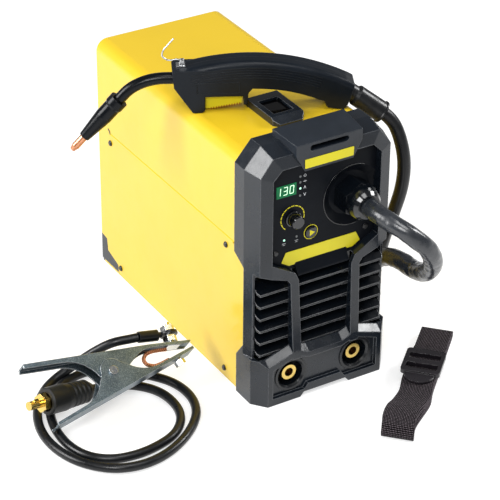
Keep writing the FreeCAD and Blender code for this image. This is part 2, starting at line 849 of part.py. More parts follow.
def spool_door():
    """The right-hand flap: a sheet with folded edges that swings down on two hinges."""
    inner = case_half - sheet
    y0 = door_front + door_gap
    y1 = door_rear - door_gap
    low = door_low + door_gap
    high = door_high - door_gap
    shell = box(inner - door_flange, case_half, y0, y1, low, high)
    hollow = box(inner - door_flange - 1, inner, y0 + sheet, y1 - sheet, low - 1, high - sheet)
    door = shell.cut(hollow)
    parts = [door]
    for y in hinge_places:
        moving = leaf(y, low + 2, low + 2 + hinge_leaf)
        third = hinge_long / 6
        tab = box(case_half, hinge_axis(), y - third + pin_gap * 2, y + third - pin_gap * 2, hinge_z, low + 3)
        parts += [moving, tab] + knuckle(y, True)
    door = joined(parts)
    for y in hinge_places:
        reach = hinge_long / 2
        door = door.cut(rod(hinge_pin + pin_gap, v(hinge_axis(), y - reach, hinge_z), v(hinge_axis(), y + reach, hinge_z)))
    return door


def door_hinge_leaves():
    """The fixed leaves below the flap, each with its outer knuckles and staked pin."""
    leaves = []
    for y in hinge_places:
        pin = rod(hinge_pin, v(hinge_axis(), y - hinge_long / 2, hinge_z), v(hinge_axis(), y + hinge_long / 2, hinge_z))
        high = hinge_z - hinge_radius - 0.2
        plate = leaf(y, high - hinge_leaf, high)
        third = hinge_long / 6
        parts = [plate, pin] + knuckle(y, False)
        for low, up in ((-hinge_long / 2, -third), (third, hinge_long / 2)):
            parts.append(box(case_half, hinge_axis(), y + low, y + up, high - 1, hinge_z))
        leaves.append(joined(parts))
    return Part.makeCompound(leaves)


def door_latch():
    """A pull on the flap, with a spring tongue inside that snaps under the opening's edge."""
    plate = prism("x", case_half, case_half + 2, [(pull_y - 14, pull_z - 6, 2), (pull_y + 14, pull_z - 6, 2),
                                                  (pull_y + 14, pull_z + 6, 2), (pull_y - 14, pull_z + 6, 2)])
    grip = prism("y", pull_y - 11, pull_y + 11, [(case_half + 2, pull_z + 3), (case_half + 9, pull_z + 1),
                                                 (case_half + 9, pull_z - 1.5), (case_half + 2, pull_z)])
    return joined([plate, grip])


def divider_plate():
    """The upright inner plate with the shelf under the spool, and the spool's stud."""
    plate = box(divider_x, divider_x + sheet, divider_front, divider_rear, pan_sheet, divider_top)
    outer = case_half - sheet - fit_gap
    shelf = box(divider_x, outer - 0.4, divider_front + 10, divider_rear, shelf_z, shelf_z + sheet)
    stud = rod(spool_bore - 0.2, v(divider_x, spool_y, spool_z), v(spool_right + 3, spool_y, spool_z))
    collar = rod(spool_bore + 4, v(divider_x, spool_y, spool_z), v(spool_left - seat_gap, spool_y, spool_z))
    cap = rod(spool_bore + 3, v(spool_right + seat_gap, spool_y, spool_z), v(spool_right + 5, spool_y, spool_z))
    body = joined([plate, shelf, stud, collar, cap])
    shaft = rod(roll_shaft + 4, v(divider_x - 1, feeder_y, drive_z()), v(divider_x + sheet + 1, feeder_y, drive_z()))
    fan_bay = box(divider_x - 1, divider_x + sheet + 1, fan_front() - seat_gap, divider_rear + 1, pan_sheet - 1,
                  fan_z + fan_half + seat_gap)
    return body.cut(shaft).cut(fan_bay)


def drive_z():
    return dish_z - wire_gap / 2 - drive_radius


def press_z():
    return dish_z + wire_gap / 2 + press_radius


def wire_spool():
    """A small spool: two flanges on a hub, with the wound wire's plain outer form between."""
    return turned([(spool_bore, 0), (spool_radius, 0), (spool_radius, spool_flange),
                   (spool_wound, spool_flange), (spool_wound, spool_right - spool_left - spool_flange),
                   (spool_radius, spool_right - spool_left - spool_flange),
                   (spool_radius, spool_right - spool_left), (spool_bore, spool_right - spool_left)],
                  v(spool_left, spool_y, spool_z), v(1, 0, 0))


def feed_base():
    """The feeder's cast plate with an inlet guide, an outlet guide and the arm's pivot stud."""
    x0 = divider_x + sheet
    x1 = x0 + feeder_thick
    plate = prism("x", x0, x1, [(feeder_front, feeder_low, 4), (feeder_rear, feeder_low, 4),
                                (feeder_rear, feeder_high, 4), (feeder_front, feeder_high, 4)])
    inner = wire_x + guide_radius + 2
    shapes = [plate]
    rolls = drive_radius + 2
    for y0, y1 in ((feeder_front, feeder_y - rolls), (feeder_y + rolls, feeder_rear)):
        shapes.append(box(x1, inner, y0, y1, dish_z - 6, dish_z + 6))
    outlet = panel_y + dish_deep + dish_wall + 8 + seat_gap
    shapes.append(rod(guide_radius, v(wire_x, outlet, dish_z), v(wire_x, feeder_front, dish_z)))
    shapes.append(rod(guide_radius - pin_gap, v(x1, arm_pivot_y, arm_pivot_z), v(wire_x + roll_width, arm_pivot_y,
                                                                        arm_pivot_z)))
    body = joined(shapes)
    body = body.cut(rod(roll_shaft + pin_gap, v(x0 - 1, feeder_y, drive_z()), v(x1 + 1, feeder_y, drive_z())))
    return body.cut(rod(1.0, v(wire_x, outlet - 1, dish_z), v(wire_x, feeder_rear + 1, dish_z)))


def feed_motor():
    """The geared motor on the far side of the divider."""
    centre = v(divider_x, feeder_y, drive_z())
    gearbox = box(divider_x - 22, divider_x, feeder_y - 20, feeder_y + 20, drive_z() - 20, drive_z() + 20)
    can = rod(17.0, centre + v(-22, 0, 0), centre + v(-66, 0, 0))
    end = rod(6.0, centre + v(-66, 0, 0), centre + v(-70, 0, 0))
    body = joined([gearbox, can, end])
    return body.cut(rod(roll_shaft + pin_gap, centre + v(-16, 0, 0), centre + v(1, 0, 0)))


def grooved_roll(radius, back, bore, centre, groove):
    """A roll with a V groove for the wire at its middle."""
    half = roll_width / 2
    profile = [(bore, -half), (radius, -half), (radius, -groove), (radius - groove, 0), (radius, groove),
               (radius, half), (bore, half)]
    roll = turned(profile, centre, v(1, 0, 0))
    if back:
        shaft = rod(roll_shaft, centre + v(-back, 0, 0), centre + v(half, 0, 0))
        roll = roll.fuse(shaft)
    return roll


def drive_roll():
    centre = v(wire_x, feeder_y, drive_z())
    return grooved_roll(drive_radius, wire_x - divider_x + 15, roll_shaft - 0.5, centre, 0.8)


def pressure_arm():
    """The sprung arm that carries the upper roll, a plate each side of it joined at the rear."""
    side = roll_width / 2 + seat_gap
    thick = 3.0
    shapes = []
    outline = [(arm_pivot_y - arm_radius, arm_pivot_z - arm_radius, 4), (arm_pivot_y + arm_radius, arm_pivot_z - arm_radius),
               (feeder_y + 4, press_z() - 5, 3), (feeder_y + 8, press_z() + 4, 3), (feeder_y + 4, arm_pivot_z + arm_radius, 3),
               (arm_pivot_y - arm_radius, arm_pivot_z + arm_radius, 4)]
    near = wire_x - side - thick
    for x in (near, wire_x + side):
        shapes.append(prism("x", x, x + thick, outline))
    shapes.append(box(near, wire_x + side + thick, arm_pivot_y + 1, feeder_y - press_radius - 0.6,
                      arm_pivot_z + 0.5, arm_pivot_z + arm_radius))
    body = joined(shapes)
    body = body.cut(rod(guide_radius, v(near - 1, arm_pivot_y, arm_pivot_z), v(wire_x + roll_width + 1, arm_pivot_y,
                                                                       arm_pivot_z)))
    return body.fuse(rod(roll_shaft - pin_gap, v(near, feeder_y, press_z()), v(wire_x + side + thick, feeder_y, press_z())))


def pressure_roll():
    return grooved_roll(press_radius, 0, roll_shaft, v(wire_x, feeder_y, press_z()), 0.5)


def fan_front():
    return case_rear - rear_thick - fan_deep


def fan_frame():
    """A square frame with a round duct, and a motor seat held by three struts at the rear."""
    y0 = fan_front()
    y1 = y0 + fan_deep
    corner = 4.0
    square = [(fan_x - fan_half, fan_z - fan_half, corner), (fan_x + fan_half, fan_z - fan_half, corner),
              (fan_x + fan_half, fan_z + fan_half, corner), (fan_x - fan_half, fan_z + fan_half, corner)]
    frame = prism("y", y0, y1, square).cut(rod(fan_bore, v(fan_x, y0 - 1, fan_z), v(fan_x, y1 + 1, fan_z)))
    hub = rod(fan_hub, v(fan_x, y1 - 4, fan_z), v(fan_x, y1, fan_z))
    shapes = [frame, hub]
    for i in range(3):
        strut = box(fan_x - 2, fan_x + 2, y1 - 4, y1, fan_z + fan_hub - 1, fan_z + fan_bore + 1)
        strut.rotate(v(fan_x, 0, fan_z), v(0, 1, 0), 120 * i)
        shapes.append(strut)
    body = joined(shapes)
    return body.fuse(rod(roll_shaft, v(fan_x, y0 + 6, fan_z), v(fan_x, y1 - 4, fan_z)))


def fan_rotor():
    """A hub with leaning blades, on the frame's shaft."""
    y0 = fan_front() + 3
    deep = fan_deep - 4 - 3 - 1
    hub = rod(fan_hub, v(fan_x, y0, fan_z), v(fan_x, y0 + deep, fan_z))
    hub = hub.cut(rod(roll_shaft + pin_gap, v(fan_x, y0 + 2.5, fan_z), v(fan_x, y0 + deep + 1, fan_z)))
    shapes = [hub]
    for i in range(fan_blades):
        blade = box(fan_x - 1, fan_x + 1, y0 - 1, y0 + deep + 1, fan_z + fan_hub - 2, fan_z + fan_bore - 1.5)
        blade.rotate(v(fan_x, y0 + deep / 2, fan_z), v(0, 0, 1), 38)
        blade.rotate(v(fan_x, 0, fan_z), v(0, 1, 0), 360 / fan_blades * i)
        shapes.append(blade)
    body = joined(shapes)
    return body.common(rod(fan_bore - 1.5, v(fan_x, y0, fan_z), v(fan_x, y0 + deep, fan_z)))


def rear_panel():
    """The moulded back, with slots over the fan and the corners that show under the side sheets."""
    inner = case_half - sheet - fit_gap
    y0 = case_rear - rear_thick
    plate = prism("y", y0, case_rear, [(inner, 0), (inner, case_top - sheet - fit_gap, case_corner - sheet),
                                       (-inner, case_top - sheet - fit_gap, case_corner - sheet), (-inner, 0)])
    shapes = [plate]
    for side in (-1, 1):
        reach = sorted((side * (inner - 2), side * case_half))
        corner = sheet_tail(reach[0], reach[1]).common(box(reach[0], reach[1], 0, case_rear, 0, case_top))
        corner = corner.cut(box(-inner, inner, 0, y0, -1, case_top))
        shapes.append(corner)
    body = joined(shapes)
    for i in range(-4, 5):
        half = math.sqrt(fan_bore ** 2 - (i * 9.0) ** 2) - 2
        x = fan_x + i * 9.0
        body = body.cut(box(x - 2.2, x + 2.2, y0 - 1, case_rear + 1, fan_z - half, fan_z + half))
    body = body.cut(box(switch_x - 14, switch_x + 14, y0 - 1, case_rear + 1, switch_z - 11, switch_z + 11))
    return body.cut(rod(8.1, v(switch_x, y0 - 1, inlet_z), v(switch_x, case_rear + 1, inlet_z)))


def power_switch_body():
    """The mains switch's housing: a rim outside and a box through the rear panel."""
    shell = box(switch_x - 13.8, switch_x + 13.8, case_rear - 24, case_rear, switch_z - 10.8, switch_z + 10.8)
    rim = box(switch_x - 16, switch_x + 16, case_rear, case_rear + 2, switch_z - 13, switch_z + 13)
    body = joined([shell, rim])
    well = box(switch_x - 11.5, switch_x + 11.5, case_rear - 12, case_rear + 3, switch_z - 8.5, switch_z + 8.5)
    body = body.cut(well)
    pin = rod(1.5, v(switch_x - 12, case_rear - 2, switch_z), v(switch_x + 12, case_rear - 2, switch_z))
    return body.fuse(pin)


def power_rocker():
    """The rocker: a bent key tipping about a cross pin."""
    y = case_rear - 2
    outline = [(y - 4.5, switch_z), (y - 2, switch_z + 7.6), (y + 4.2, switch_z + 7.2), (y + 2.6, switch_z),
               (y + 4.2, switch_z - 7.2), (y - 2, switch_z - 7.6)]
    key = prism("x", switch_x - 11.2, switch_x + 11.2, outline)
    key.rotate(v(switch_x, y, switch_z), v(1, 0, 0), -rocker_tilt)
    return key.cut(rod(1.5 + pin_gap, v(switch_x - 12, y, switch_z), v(switch_x + 12, y, switch_z)))


def mains_gland():
    """The empty strain relief of the mains inlet."""
    base = v(switch_x, case_rear, inlet_z)
    body = turned([(4.5, -rear_thick - 6), (8, -rear_thick - 6), (8, 0), (11, 0), (11, 5), (9, 7), (7.5, 18), (4.5, 18)],
                  base, v(0, 1, 0))
    nut = turned([(7.9, -5), (11, -5), (11, 0), (7.9, 0)], base + v(0, -rear_thick, 0), v(0, 1, 0))
    return body.fuse(nut)


def power_board():
    """The inverter board on its standoffs, with capacitors, a transformer and finned heat sinks."""
    level = 10.0
    left = board_gap - case_half
    right = divider_x - board_gap + 2
    front_end = skirt_y + 17
    rear_end = front_end + board_long
    top = level + board_thick
    shapes = [box(left, right, front_end, rear_end, level, top)]
    for x in (left + 6, right - 6):
        for y in (front_end + 6, rear_end - 6):
            shapes.append(rod(3.0, v(x, y, pan_sheet), v(x, y, level)))
    for i in range(3):
        y = front_end + 20 + i * 30
        shapes.append(rod(12.0, v(right - 22, y, top), v(right - 22, y, top + 44)))
    core = front_end + board_long / 2
    shapes.append(box(left + 10, right - 16, core, core + 50, top, top + 38))
    shapes.append(box(left + 6, right - 12, core + 8, core + 42, top + 4, top + 32))
    for y0, y1, x0 in ((front_end + 4, core - 16, left), (core + 62, rear_end - 4, left + 4)):
        shapes.append(box(x0, x0 + 4, y0, y1, level + 1, level + sink_tall))
        fins = int(sink_tall / sink_pitch)
        shapes += [box(x0 + 4, x0 + 24, y0, y1, level + 6 + sink_pitch * i, level + 8 + sink_pitch * i)
                   for i in range(fins)]
    return joined(shapes)


def natural_radii(points):
    """Each turn of a route as large as its two runs allow."""
    radii = [0.0]
    for i in range(1, len(points) - 1):
        back = points[i - 1] - points[i]
        on = points[i + 1] - points[i]
        half_turn = (math.pi - back.getAngle(on)) / 2
        radii.append(0.45 * min(back.Length, on.Length) / math.tan(half_turn))
    return radii + [0.0]


def swept(wire, radius, start, direction):
    ring = Part.Wire(Part.makeCircle(radius, start, direction))
    return wire.makePipeShell([ring], True, False)


def cord(name, route, radius):
    """A round cord along a route of runs and tangent arcs, with its length and turns printed."""
    points = [v(*point) for point in route]
    radii = natural_radii(points)
    wire = rounded_wire(points, radii, False)
    solid = swept(wire, radius, points[0], points[1] - points[0])
    expected = math.pi * radius ** 2 * wire.Length
    print(name, "length", round(wire.Length), "tightest radius", round(min(radii[1:-1]), 1),
          "volume ratio", round(solid.Volume / expected, 4))
    return solid


def biarc(start, heading, end, on_heading):
    """Two tangent arcs between two points with given headings, as through points."""
    gap = end - start
    both = heading + on_heading
    a = 2 * (1 - heading.dot(on_heading))
    b = 2 * gap.dot(both)
    c = -gap.dot(gap)
    reach = -2 * c / (b + math.sqrt(b * b - 4 * a * c))
    first = start + heading * reach
    second = end - on_heading * reach
    joint = (first + second) * 0.5
    return [arc_between(start, heading, joint), arc_between(end, on_heading * -1, joint)]


def arc_between(start, heading, end):
    """A circular arc that leaves a point along a heading and ends at another."""
    chord = end - start
    side = (chord - heading * chord.dot(heading)).normalize()
    radius = chord.dot(chord) / (2 * chord.dot(side))
    centre = start + side * radius
    middle = ((start - centre) + (end - centre)).normalize() * radius
    return Part.Arc(start, centre + middle, end).toShape()


def coil_stations():
    """The ends of the coil's quarter turns: in along the floor, up a layer, out again on top."""
    low = lead_radius + floor_gap
    inward = (coil_quarters - 3) // 2
    climb = 2
    stations = []
    radius = coil_start_radius
    height = low
    for i in range(coil_quarters + 1):
        turn = math.pi - i * math.pi / 2
        spot = v(coil_centre[0] + radius * math.cos(turn), coil_centre[1] + radius * math.sin(turn), height)
        stations.append((spot, turn, radius))
        if i < inward:
            radius -= coil_step
        elif i < inward + climb:
            height += coil_layer / climb
        else:
            radius += coil_step
    return stations


def coil_heading(i, stations):
    """The way the coil runs at a station: round its centre, eased by the steps on both sides."""
    spot, turn, radius = stations[i]
    tangent = v(math.sin(turn), -math.cos(turn), 0)
    if i == 0 or i == len(stations) - 1:
        return tangent
    before = stations[i - 1]
    after = stations[i + 1]
    arc = math.pi * radius
    climb = 2 * min(after[0].z - spot.z, spot.z - before[0].z) / arc
    draw = (after[2] - before[2]) / arc
    outward = v(math.cos(turn), math.sin(turn), 0)
    return (tangent + outward * draw + v(0, 0, climb)).normalize()


def torch_lead_coil():
    """The spare torch lead as one tube wound in two layers, with a straight run at each end."""
    stations = coil_stations()
    headings = [coil_heading(i, stations) for i in range(len(stations))]
    first = stations[0][0]
    last = stations[-1][0]
    edges = [Part.makeLine(first - headings[0] * coil_lead_in, first)]
    for i in range(len(stations) - 1):
        one, two = biarc(stations[i][0], headings[i], stations[i + 1][0], headings[i + 1])
        edges += [one, two]
    edges.append(Part.makeLine(last, last + headings[-1] * 2 * lead_radius))
    wire = Part.Wire(Part.__sortEdges__(edges))
    solid = swept(wire, lead_radius, first - headings[0] * coil_lead_in, headings[0])
    expected = math.pi * lead_radius ** 2 * wire.Length
    print("torch_lead_coil length", round(wire.Length), "volume ratio", round(solid.Volume / expected, 4),
          "least gap", round(self_gap(wire, lead_radius), 2))
    return solid


def self_gap(wire, radius):
    """The least distance between two turns of a tube, measured on points along it."""
    step = 6.0
    points = wire.discretize(Distance=step)
    skip = int(6 * radius / step) + 2
    least = 1e9
    for i in range(len(points)):
        for j in range(i + skip, len(points)):
            least = min(least, points[i].distanceToPoint(points[j]))
    return least - 2 * radius


def torch_lead_sleeve():
    return cord("torch_lead_sleeve", sleeve_route, sleeve_radius)


def boot_end():
    lean = math.radians(boot_lean)
    end = v(boot_start[0] + boot_long * math.cos(lean), 0, boot_start[1] + boot_long * math.sin(lean))
    run = v(math.cos(lean), 0, math.sin(lean))
    place = torch_place()
    return place.multVec(end), place.Rotation.multVec(run)


def torch_lead_upper():
    """From the boot, down behind the machine's front corner and along the floor to the coil."""
    start, run = boot_end()
    last = coil_stations()[-1][0] + v(-2 * lead_radius, 0, 0)
    route = [start, start + run * 12, *upper_route, last - v(upper_lead_in, 0, 0), last]
    return cord("torch_lead_upper", route, lead_radius)


def torch_place():
    return FreeCAD.Placement(v(torch_spot[0], torch_spot[1], case_top),
                             FreeCAD.Rotation(v(0, 0, 1), torch_turn))


def laid(shape):
    """A torch piece moved from the torch's own frame to where it lies on the lid."""
    shape = shape.copy()
    shape.Placement = torch_place().multiply(shape.Placement)
    return shape


def handle_outline():
    """The handle's side view: square head, curved grip over a finger gap, and a rear foot."""
    def at(s, h):
        return v(s, 0, h)
    low = [at(-3, chin_low), at(5.9, chin_low), at(8.9, 3), at(8.9, trigger_roof + 0.6),
           at(trigger_rear + 1, trigger_roof + 0.6), at(trigger_rear + 1, 8.6), at(51, 8.6), at(52, 21),
           at(56, 25.8), at(61, 25.5)]
    rear = [at(123, 11.4), at(128, 10), at(129.5, 5), at(131.6, 2.7), at(147, chin_low), at(151.5, 5.5),
            at(158, 26), at(150, 31.5)]
    head = [at(-10, head_top), at(-19, head_top), at(-23.3, 44), at(-21.6, 28), at(-3, chin_low)]
    edges = [Part.makeLine(low[i], low[i + 1]) for i in range(len(low) - 1)]
    edges.append(Part.Arc(low[-1], at(95, 21), rear[0]).toShape())
    edges += [Part.makeLine(rear[i], rear[i + 1]) for i in range(len(rear) - 1)]
    edges.append(Part.Arc(rear[-1], at(58, 54.5), head[0]).toShape())
    edges += [Part.makeLine(head[i], head[i + 1]) for i in range(len(head) - 1)]
    return Part.Wire(edges)


def handle_half_shell(side):
    """One moulded half, its long back edge rounded, hollowed for the trigger, neck and boot."""
    reach = v(0, side * handle_half, 0)
    half = Part.Face(handle_outline()).extrude(reach)
    back_edge = max((edge for edge in half.Edges if abs(edge.CenterOfMass.y - reach.y) < fit_gap),
                    key=lambda edge: edge.Length)
    half = half.makeFillet(handle_round, [back_edge])
    roof = trigger_roof + trigger_lift + 3.3
    pocket = box(8.9, trigger_rear + 1, -trigger_half - 0.4, trigger_half + 0.4, trigger_roof - 1, roof)
    half = half.cut(pocket)
    neck = v(neck_route[0][0], 0, neck_route[0][1])
    half = half.cut(rod(neck_radius + fit_gap, neck, neck + v(-30, 0, 0)))
    lean = math.radians(boot_lean)
    run = v(math.cos(lean), 0, math.sin(lean))
    start = v(boot_start[0], 0, boot_start[1])
    return half.cut(rod(boot_core + fit_gap, start, start + run * 40))


def torch_handle_left():
    return laid(handle_half_shell(-1))


def torch_handle_right():
    """The far half, which also holds the trigger's pin."""
    pin = rod(trigger_pin, v(trigger_pivot_s, -trigger_half - 0.2, trigger_pivot_h),
              v(trigger_pivot_s, trigger_half + 2, trigger_pivot_h))
    return laid(handle_half_shell(1).fuse(pin))


def torch_trigger():
    """The trigger: a finger lever with a ridged underside, on a tongue round its pin."""
    teeth = [(trigger_front, trigger_roof - 2), (trigger_front, 1.8), (20, 2.1)]
    for i in range(9):
        s = 21 + i * 2.6
        h = 2.2 + i * 0.42
        teeth += [(s, h), (s + 1.3, h + 1.2)]
    teeth += [(trigger_rear - 0.7, 6.6), (trigger_rear, trigger_roof - 2), (trigger_rear - 2, trigger_roof),
              (trigger_rear - 2, trigger_roof + 3.4), (trigger_front + 2, trigger_roof + 3.4)]
    lever = prism("y", -trigger_half, trigger_half, teeth)
    hole = rod(trigger_pin + pin_gap, v(trigger_pivot_s, -20, trigger_pivot_h), v(trigger_pivot_s, 20, trigger_pivot_h))
    return laid(lever.cut(hole))


def neck_points():
    return [v(s, 0, h) for s, h in neck_route]


def neck_end():
    points = neck_points()
    return points[-1], (points[-1] - points[-2]).normalize()


def torch_neck():
    points = neck_points()
    wire = rounded_wire(points, natural_radii(points), False)
    return laid(swept(wire, neck_radius, points[0], points[1] - points[0]))


def torch_nozzle():
    """The tapered nozzle and its collar, over the neck's end."""
    end, run = neck_end()
    back = 5.0
    nozzle = turned([(neck_radius + fit_gap, 0), (nozzle_collar, 0), (nozzle_collar, 8), (nozzle_radius, 10),
                     (nozzle_radius, nozzle_long * 0.45), (nozzle_tip, nozzle_long), (tip_radius + fit_gap, nozzle_long),
                     (tip_radius + fit_gap, back), (neck_radius + fit_gap, back)], end - run * back, run)
    return laid(nozzle)


def contact_tip():
    end, run = neck_end()
    tip = turned([(0.8, 0), (tip_radius, 0), (tip_radius, tip_long - 5), (tip_radius - 1.4, tip_long),
                  (0.8, tip_long)], end, run)
    return laid(tip)


def torch_hook_clip():
    """The hook's saddle on the handle's head, with two ears and a cross pin."""
    seat = head_top
    saddle = box(hook_s - 6, hook_s + 3, -4.5, 4.5, seat + fit_gap, seat + 1.6)
    shapes = [saddle]
    for t in (-3.6, 2.2):
        shapes.append(prism("y", t, t + 1.4, [(hook_s - 3, seat + 1), (hook_s - 2, hook_h + 1.6), (hook_s + 2, hook_h + 1.6),
                                              (hook_s + 3, seat + 1)]))
    shapes.append(rod(hook_pin, v(hook_s, -3.6, hook_h), v(hook_s, 3.6, hook_h)))
    return laid(joined(shapes))


def torch_hook():
    """A bent wire with an eye on the clip's pin."""
    eye = rod(2.2, v(hook_s, -1.7, hook_h), v(hook_s, 1.7, hook_h))
    points = [v(s, 0, h) for s, h in hook_route]
    wire = rounded_wire(points, natural_radii(points), False)
    hook = eye.fuse(swept(wire, hook_wire, points[0], points[1] - points[0]))
    return laid(hook.cut(rod(hook_pin + pin_gap, v(hook_s, -4, hook_h), v(hook_s, 4, hook_h))))


def torch_boot():
    lean = math.radians(boot_lean)
    run = v(math.cos(lean), 0, math.sin(lean))
    start = v(boot_start[0], 0, boot_start[1])
    return laid(turned([(0, 0), (boot_core, 0), (boot_core, 16), (boot_radius, 19), (boot_radius, boot_long - 2.4),
                        (boot_radius + 1, boot_long - 1.6), (boot_radius + 1, boot_long), (0, boot_long)], start, run))


def lug_end():
    """Where the cable leaves the lug's barrel, and its heading there."""
    base, out = stud_line(clamp_upper_edge[0], clamp_upper_edge[1], clamp_stud_x)
    side = v(-out.y, out.x, 0)
    place = clamp_place()
    return place.multVec(base + out * lug_out + side * lug_long), place.Rotation.multVec(side)


def earth_lead():
    start, side = lug_end()
    rear = v(*plug_rear)
    run = v(*plug_turn).normalize()
    route = [start, start + side * 10, *earth_route, rear - run * earth_lead_in, rear]
    return cord("earth_lead", route, earth_radius)


def earth_plug_body():
    """The rubber body, wider towards its front, with grip rings and a recess for the brass."""
    profile = [(0, 0), (plug_tail_radius, 0), (plug_rear_radius, plug_tail_long)]
    for i in range(4):
        z = 10 + i * 6
        profile += [(plug_rear_radius + 0.3 * i, z), (plug_rear_radius - 0.8 + 0.3 * i, z + 1.5),
                    (plug_rear_radius + 0.3 * i, z + 3)]
    profile += [(plug_front_radius, 38), (plug_front_radius, plug_long - 1.5), (plug_front_radius - 1.5, plug_long),
                (plug_collar / math.sqrt(3) + fit_gap, plug_long),
                (plug_collar / math.sqrt(3) + fit_gap, plug_long - 4), (0, plug_long - 4)]
    return turned(profile, v(*plug_rear), v(*plug_turn))


def earth_plug_pin():
    """The brass pin: a hexagon in the body's mouth, a plain pin and its locking lug."""
    run = v(*plug_turn).normalize()
    seat = v(*plug_rear) + run * (plug_long - 4)
    face = seat + run * (4 + plug_collar_long)
    pin = joined([hexagon(plug_collar, seat, face), rod(plug_pin, face, face + run * plug_pin_long)])
    key = box(plug_pin - 1, plug_pin + 1.6, -1.5, 1.5, 4, 10)
    key.Placement = FreeCAD.Placement(face, FreeCAD.Rotation(v(0, 0, 1), run))
    return pin.fuse(key)


def clamp_place():
    """The clamp leans across the plug, tilted to the front with its jaws a little raised."""
    turn = FreeCAD.Rotation(v(0, 0, 1), clamp_turn)
    rise = FreeCAD.Rotation(v(0, 1, 0), -clamp_rise)
    tilt = FreeCAD.Rotation(v(1, 0, 0), clamp_tilt)
    return FreeCAD.Placement(v(*clamp_pivot_at), turn.multiply(rise).multiply(tilt))


def clamped(shape):
    """A clamp piece moved from its pivot's frame to where it lies."""
    shape = shape.copy()
    shape.Placement = clamp_place().multiply(shape.Placement)
    return shape


def channel(outer, inner, head, low, high):
    """A stamped channel: two cheeks of one outline, joined by a web along the outer edge."""
    outline = outer + inner
    shapes = []
    for z in (low, high - clamp_sheet):
        cheek = prism("z", z, z + clamp_sheet, outline)
        if head:
            cheek = cheek.fuse(Part.makeCylinder(head, clamp_sheet, v(0, 0, z)))
        shapes.append(cheek)
    for i in range(len(outer) - 1):
        start = v(outer[i][0], outer[i][1], low)
        end = v(outer[i + 1][0], outer[i + 1][1], low)
        run = (end - start).normalize()
        side = v(-run.y, run.x, 0) * clamp_sheet
        web = Part.Face(Part.makePolygon([start, end, end + side, start + side, start]))
        shapes.append(web.extrude(v(0, 0, high - low)))
    return joined(shapes)


def clamp_lower_arm():
    """The moving arm: straight along its outside, with a round head at the pivot."""
    outer = list(clamp_lower_edge)
    inner = [(93, -18), (32, -17.2, 36), (12, 5.3), (-11.5, 4), (-31.5, -16.8, 38), (-84, -18)]
    arm = channel(outer, inner, clamp_head, 0, clamp_wide)
    arm = arm.cut(rod(clamp_pin + pin_gap, v(0, 0, -1), v(0, 0, clamp_wide + 1)))
    base, out = stud_line(clamp_lower_edge[0], clamp_lower_edge[1], clamp_bolt_x)
    return clamped(arm.cut(rod(clamp_bolt + fit_gap, base - out * 4, base + out * 4)))


def clamp_upper_arm():
    """The other arm, nested between the first one's cheeks."""
    outer = list(clamp_upper_edge)
    inner = [(-80, 46), (-20.6, 25.6, 38), (-13.8, -4), (-8, -11), (8, -11), (19.8, -3.1), (44, 5.4, 30), (93.5, -13.2)]
    low = clamp_sheet + clamp_nest
    arm = channel(outer, inner, 0, low, clamp_wide - low)
    arm = arm.cut(rod(clamp_pin + fit_gap / 2, v(0, 0, -1), v(0, 0, clamp_wide + 1)))
    base, out = stud_line(clamp_upper_edge[0], clamp_upper_edge[1], clamp_stud_x)
    return clamped(arm.cut(rod(clamp_stud + fit_gap, base - out * 4, base + out * 4)))


def clamp_pivot():
    """The rivet with its two heads, and the spring's barrel between the cheeks."""
    pin = rod(clamp_pin, v(0, 0, -0.4), v(0, 0, clamp_wide + 0.4))
    heads = [rod(clamp_pin + 1.8, v(0, 0, -1.6), v(0, 0, -0.3)),
             rod(clamp_pin + 1.8, v(0, 0, clamp_wide + 0.3), v(0, 0, clamp_wide + 1.6))]
    inner = 2 * clamp_sheet + clamp_nest + seat_gap
    barrel = rod(7.5, v(0, 0, inner), v(0, 0, clamp_wide - inner))
    return clamped(joined([pin, barrel] + heads))


def stud_line(first, second, x):
    """Where a stud crosses a jaw's outer edge, and its way outwards."""
    share = (x - first[0]) / (second[0] - first[0])
    base = v(x, first[1] + share * (second[1] - first[1]), clamp_wide / 2)
    run = v(second[0] - first[0], second[1] - first[1], 0).normalize()
    return base, v(run.y, -run.x, 0)


def contact_pad(base, out):
    """A flat contact inside a jaw, against the web."""
    pad = box(-clamp_pad_tall / 2, clamp_pad_tall / 2, -clamp_pad / 2, clamp_pad / 2, 0, 1.5)
    side = v(-out.y, out.x, 0)
    frame = FreeCAD.Rotation(v(0, 0, 1), side, out * -1, "ZXY")
    pad.Placement = FreeCAD.Placement(base - out * (clamp_sheet + fit_gap), frame)
    return pad


def clamp_upper_contact():
    """The upper jaw's contact: its pad inside, and the stud with its nuts outside."""
    base, out = stud_line(clamp_upper_edge[0], clamp_upper_edge[1], clamp_stud_x)
    stud = rod(clamp_stud, base + out * -2.5, base + out * 24)
    return clamped(joined([stud, contact_pad(base, out), hexagon(13.0, base + out * 2.5, base + out * 9),
                           hexagon(13.0, base + out * (lug_out + 1.6), base + out * (lug_out + 8))]))


def clamp_lower_contact():
    """The lower jaw's contact: its pad inside, and a bolt head outside."""
    base, out = stud_line(clamp_lower_edge[0], clamp_lower_edge[1], clamp_bolt_x)
    bolt = rod(clamp_bolt, base + out * -2.5, base + out * 5)
    return clamped(joined([bolt, contact_pad(base, out), hexagon(10.0, base + out * 1.8, base + out * 7)]))


def clamp_lug():
    """The cable's lug on the stud, with its sleeved barrel."""
    base, out = stud_line(clamp_upper_edge[0], clamp_upper_edge[1], clamp_stud_x)
    side = v(-out.y, out.x, 0)
    centre = base + out * lug_out
    ring = rod(9.5, centre - out * 1.4, centre + out * 1.4)
    neck = rod(3.0, centre + side * 8.2, centre + side * 16)
    barrel = rod(lug_radius, centre + side * 13, centre + side * lug_long)
    lug = joined([ring, neck, barrel])
    return clamped(lug.cut(rod(clamp_stud + fit_gap, centre - out * 10, centre + out * 10)))


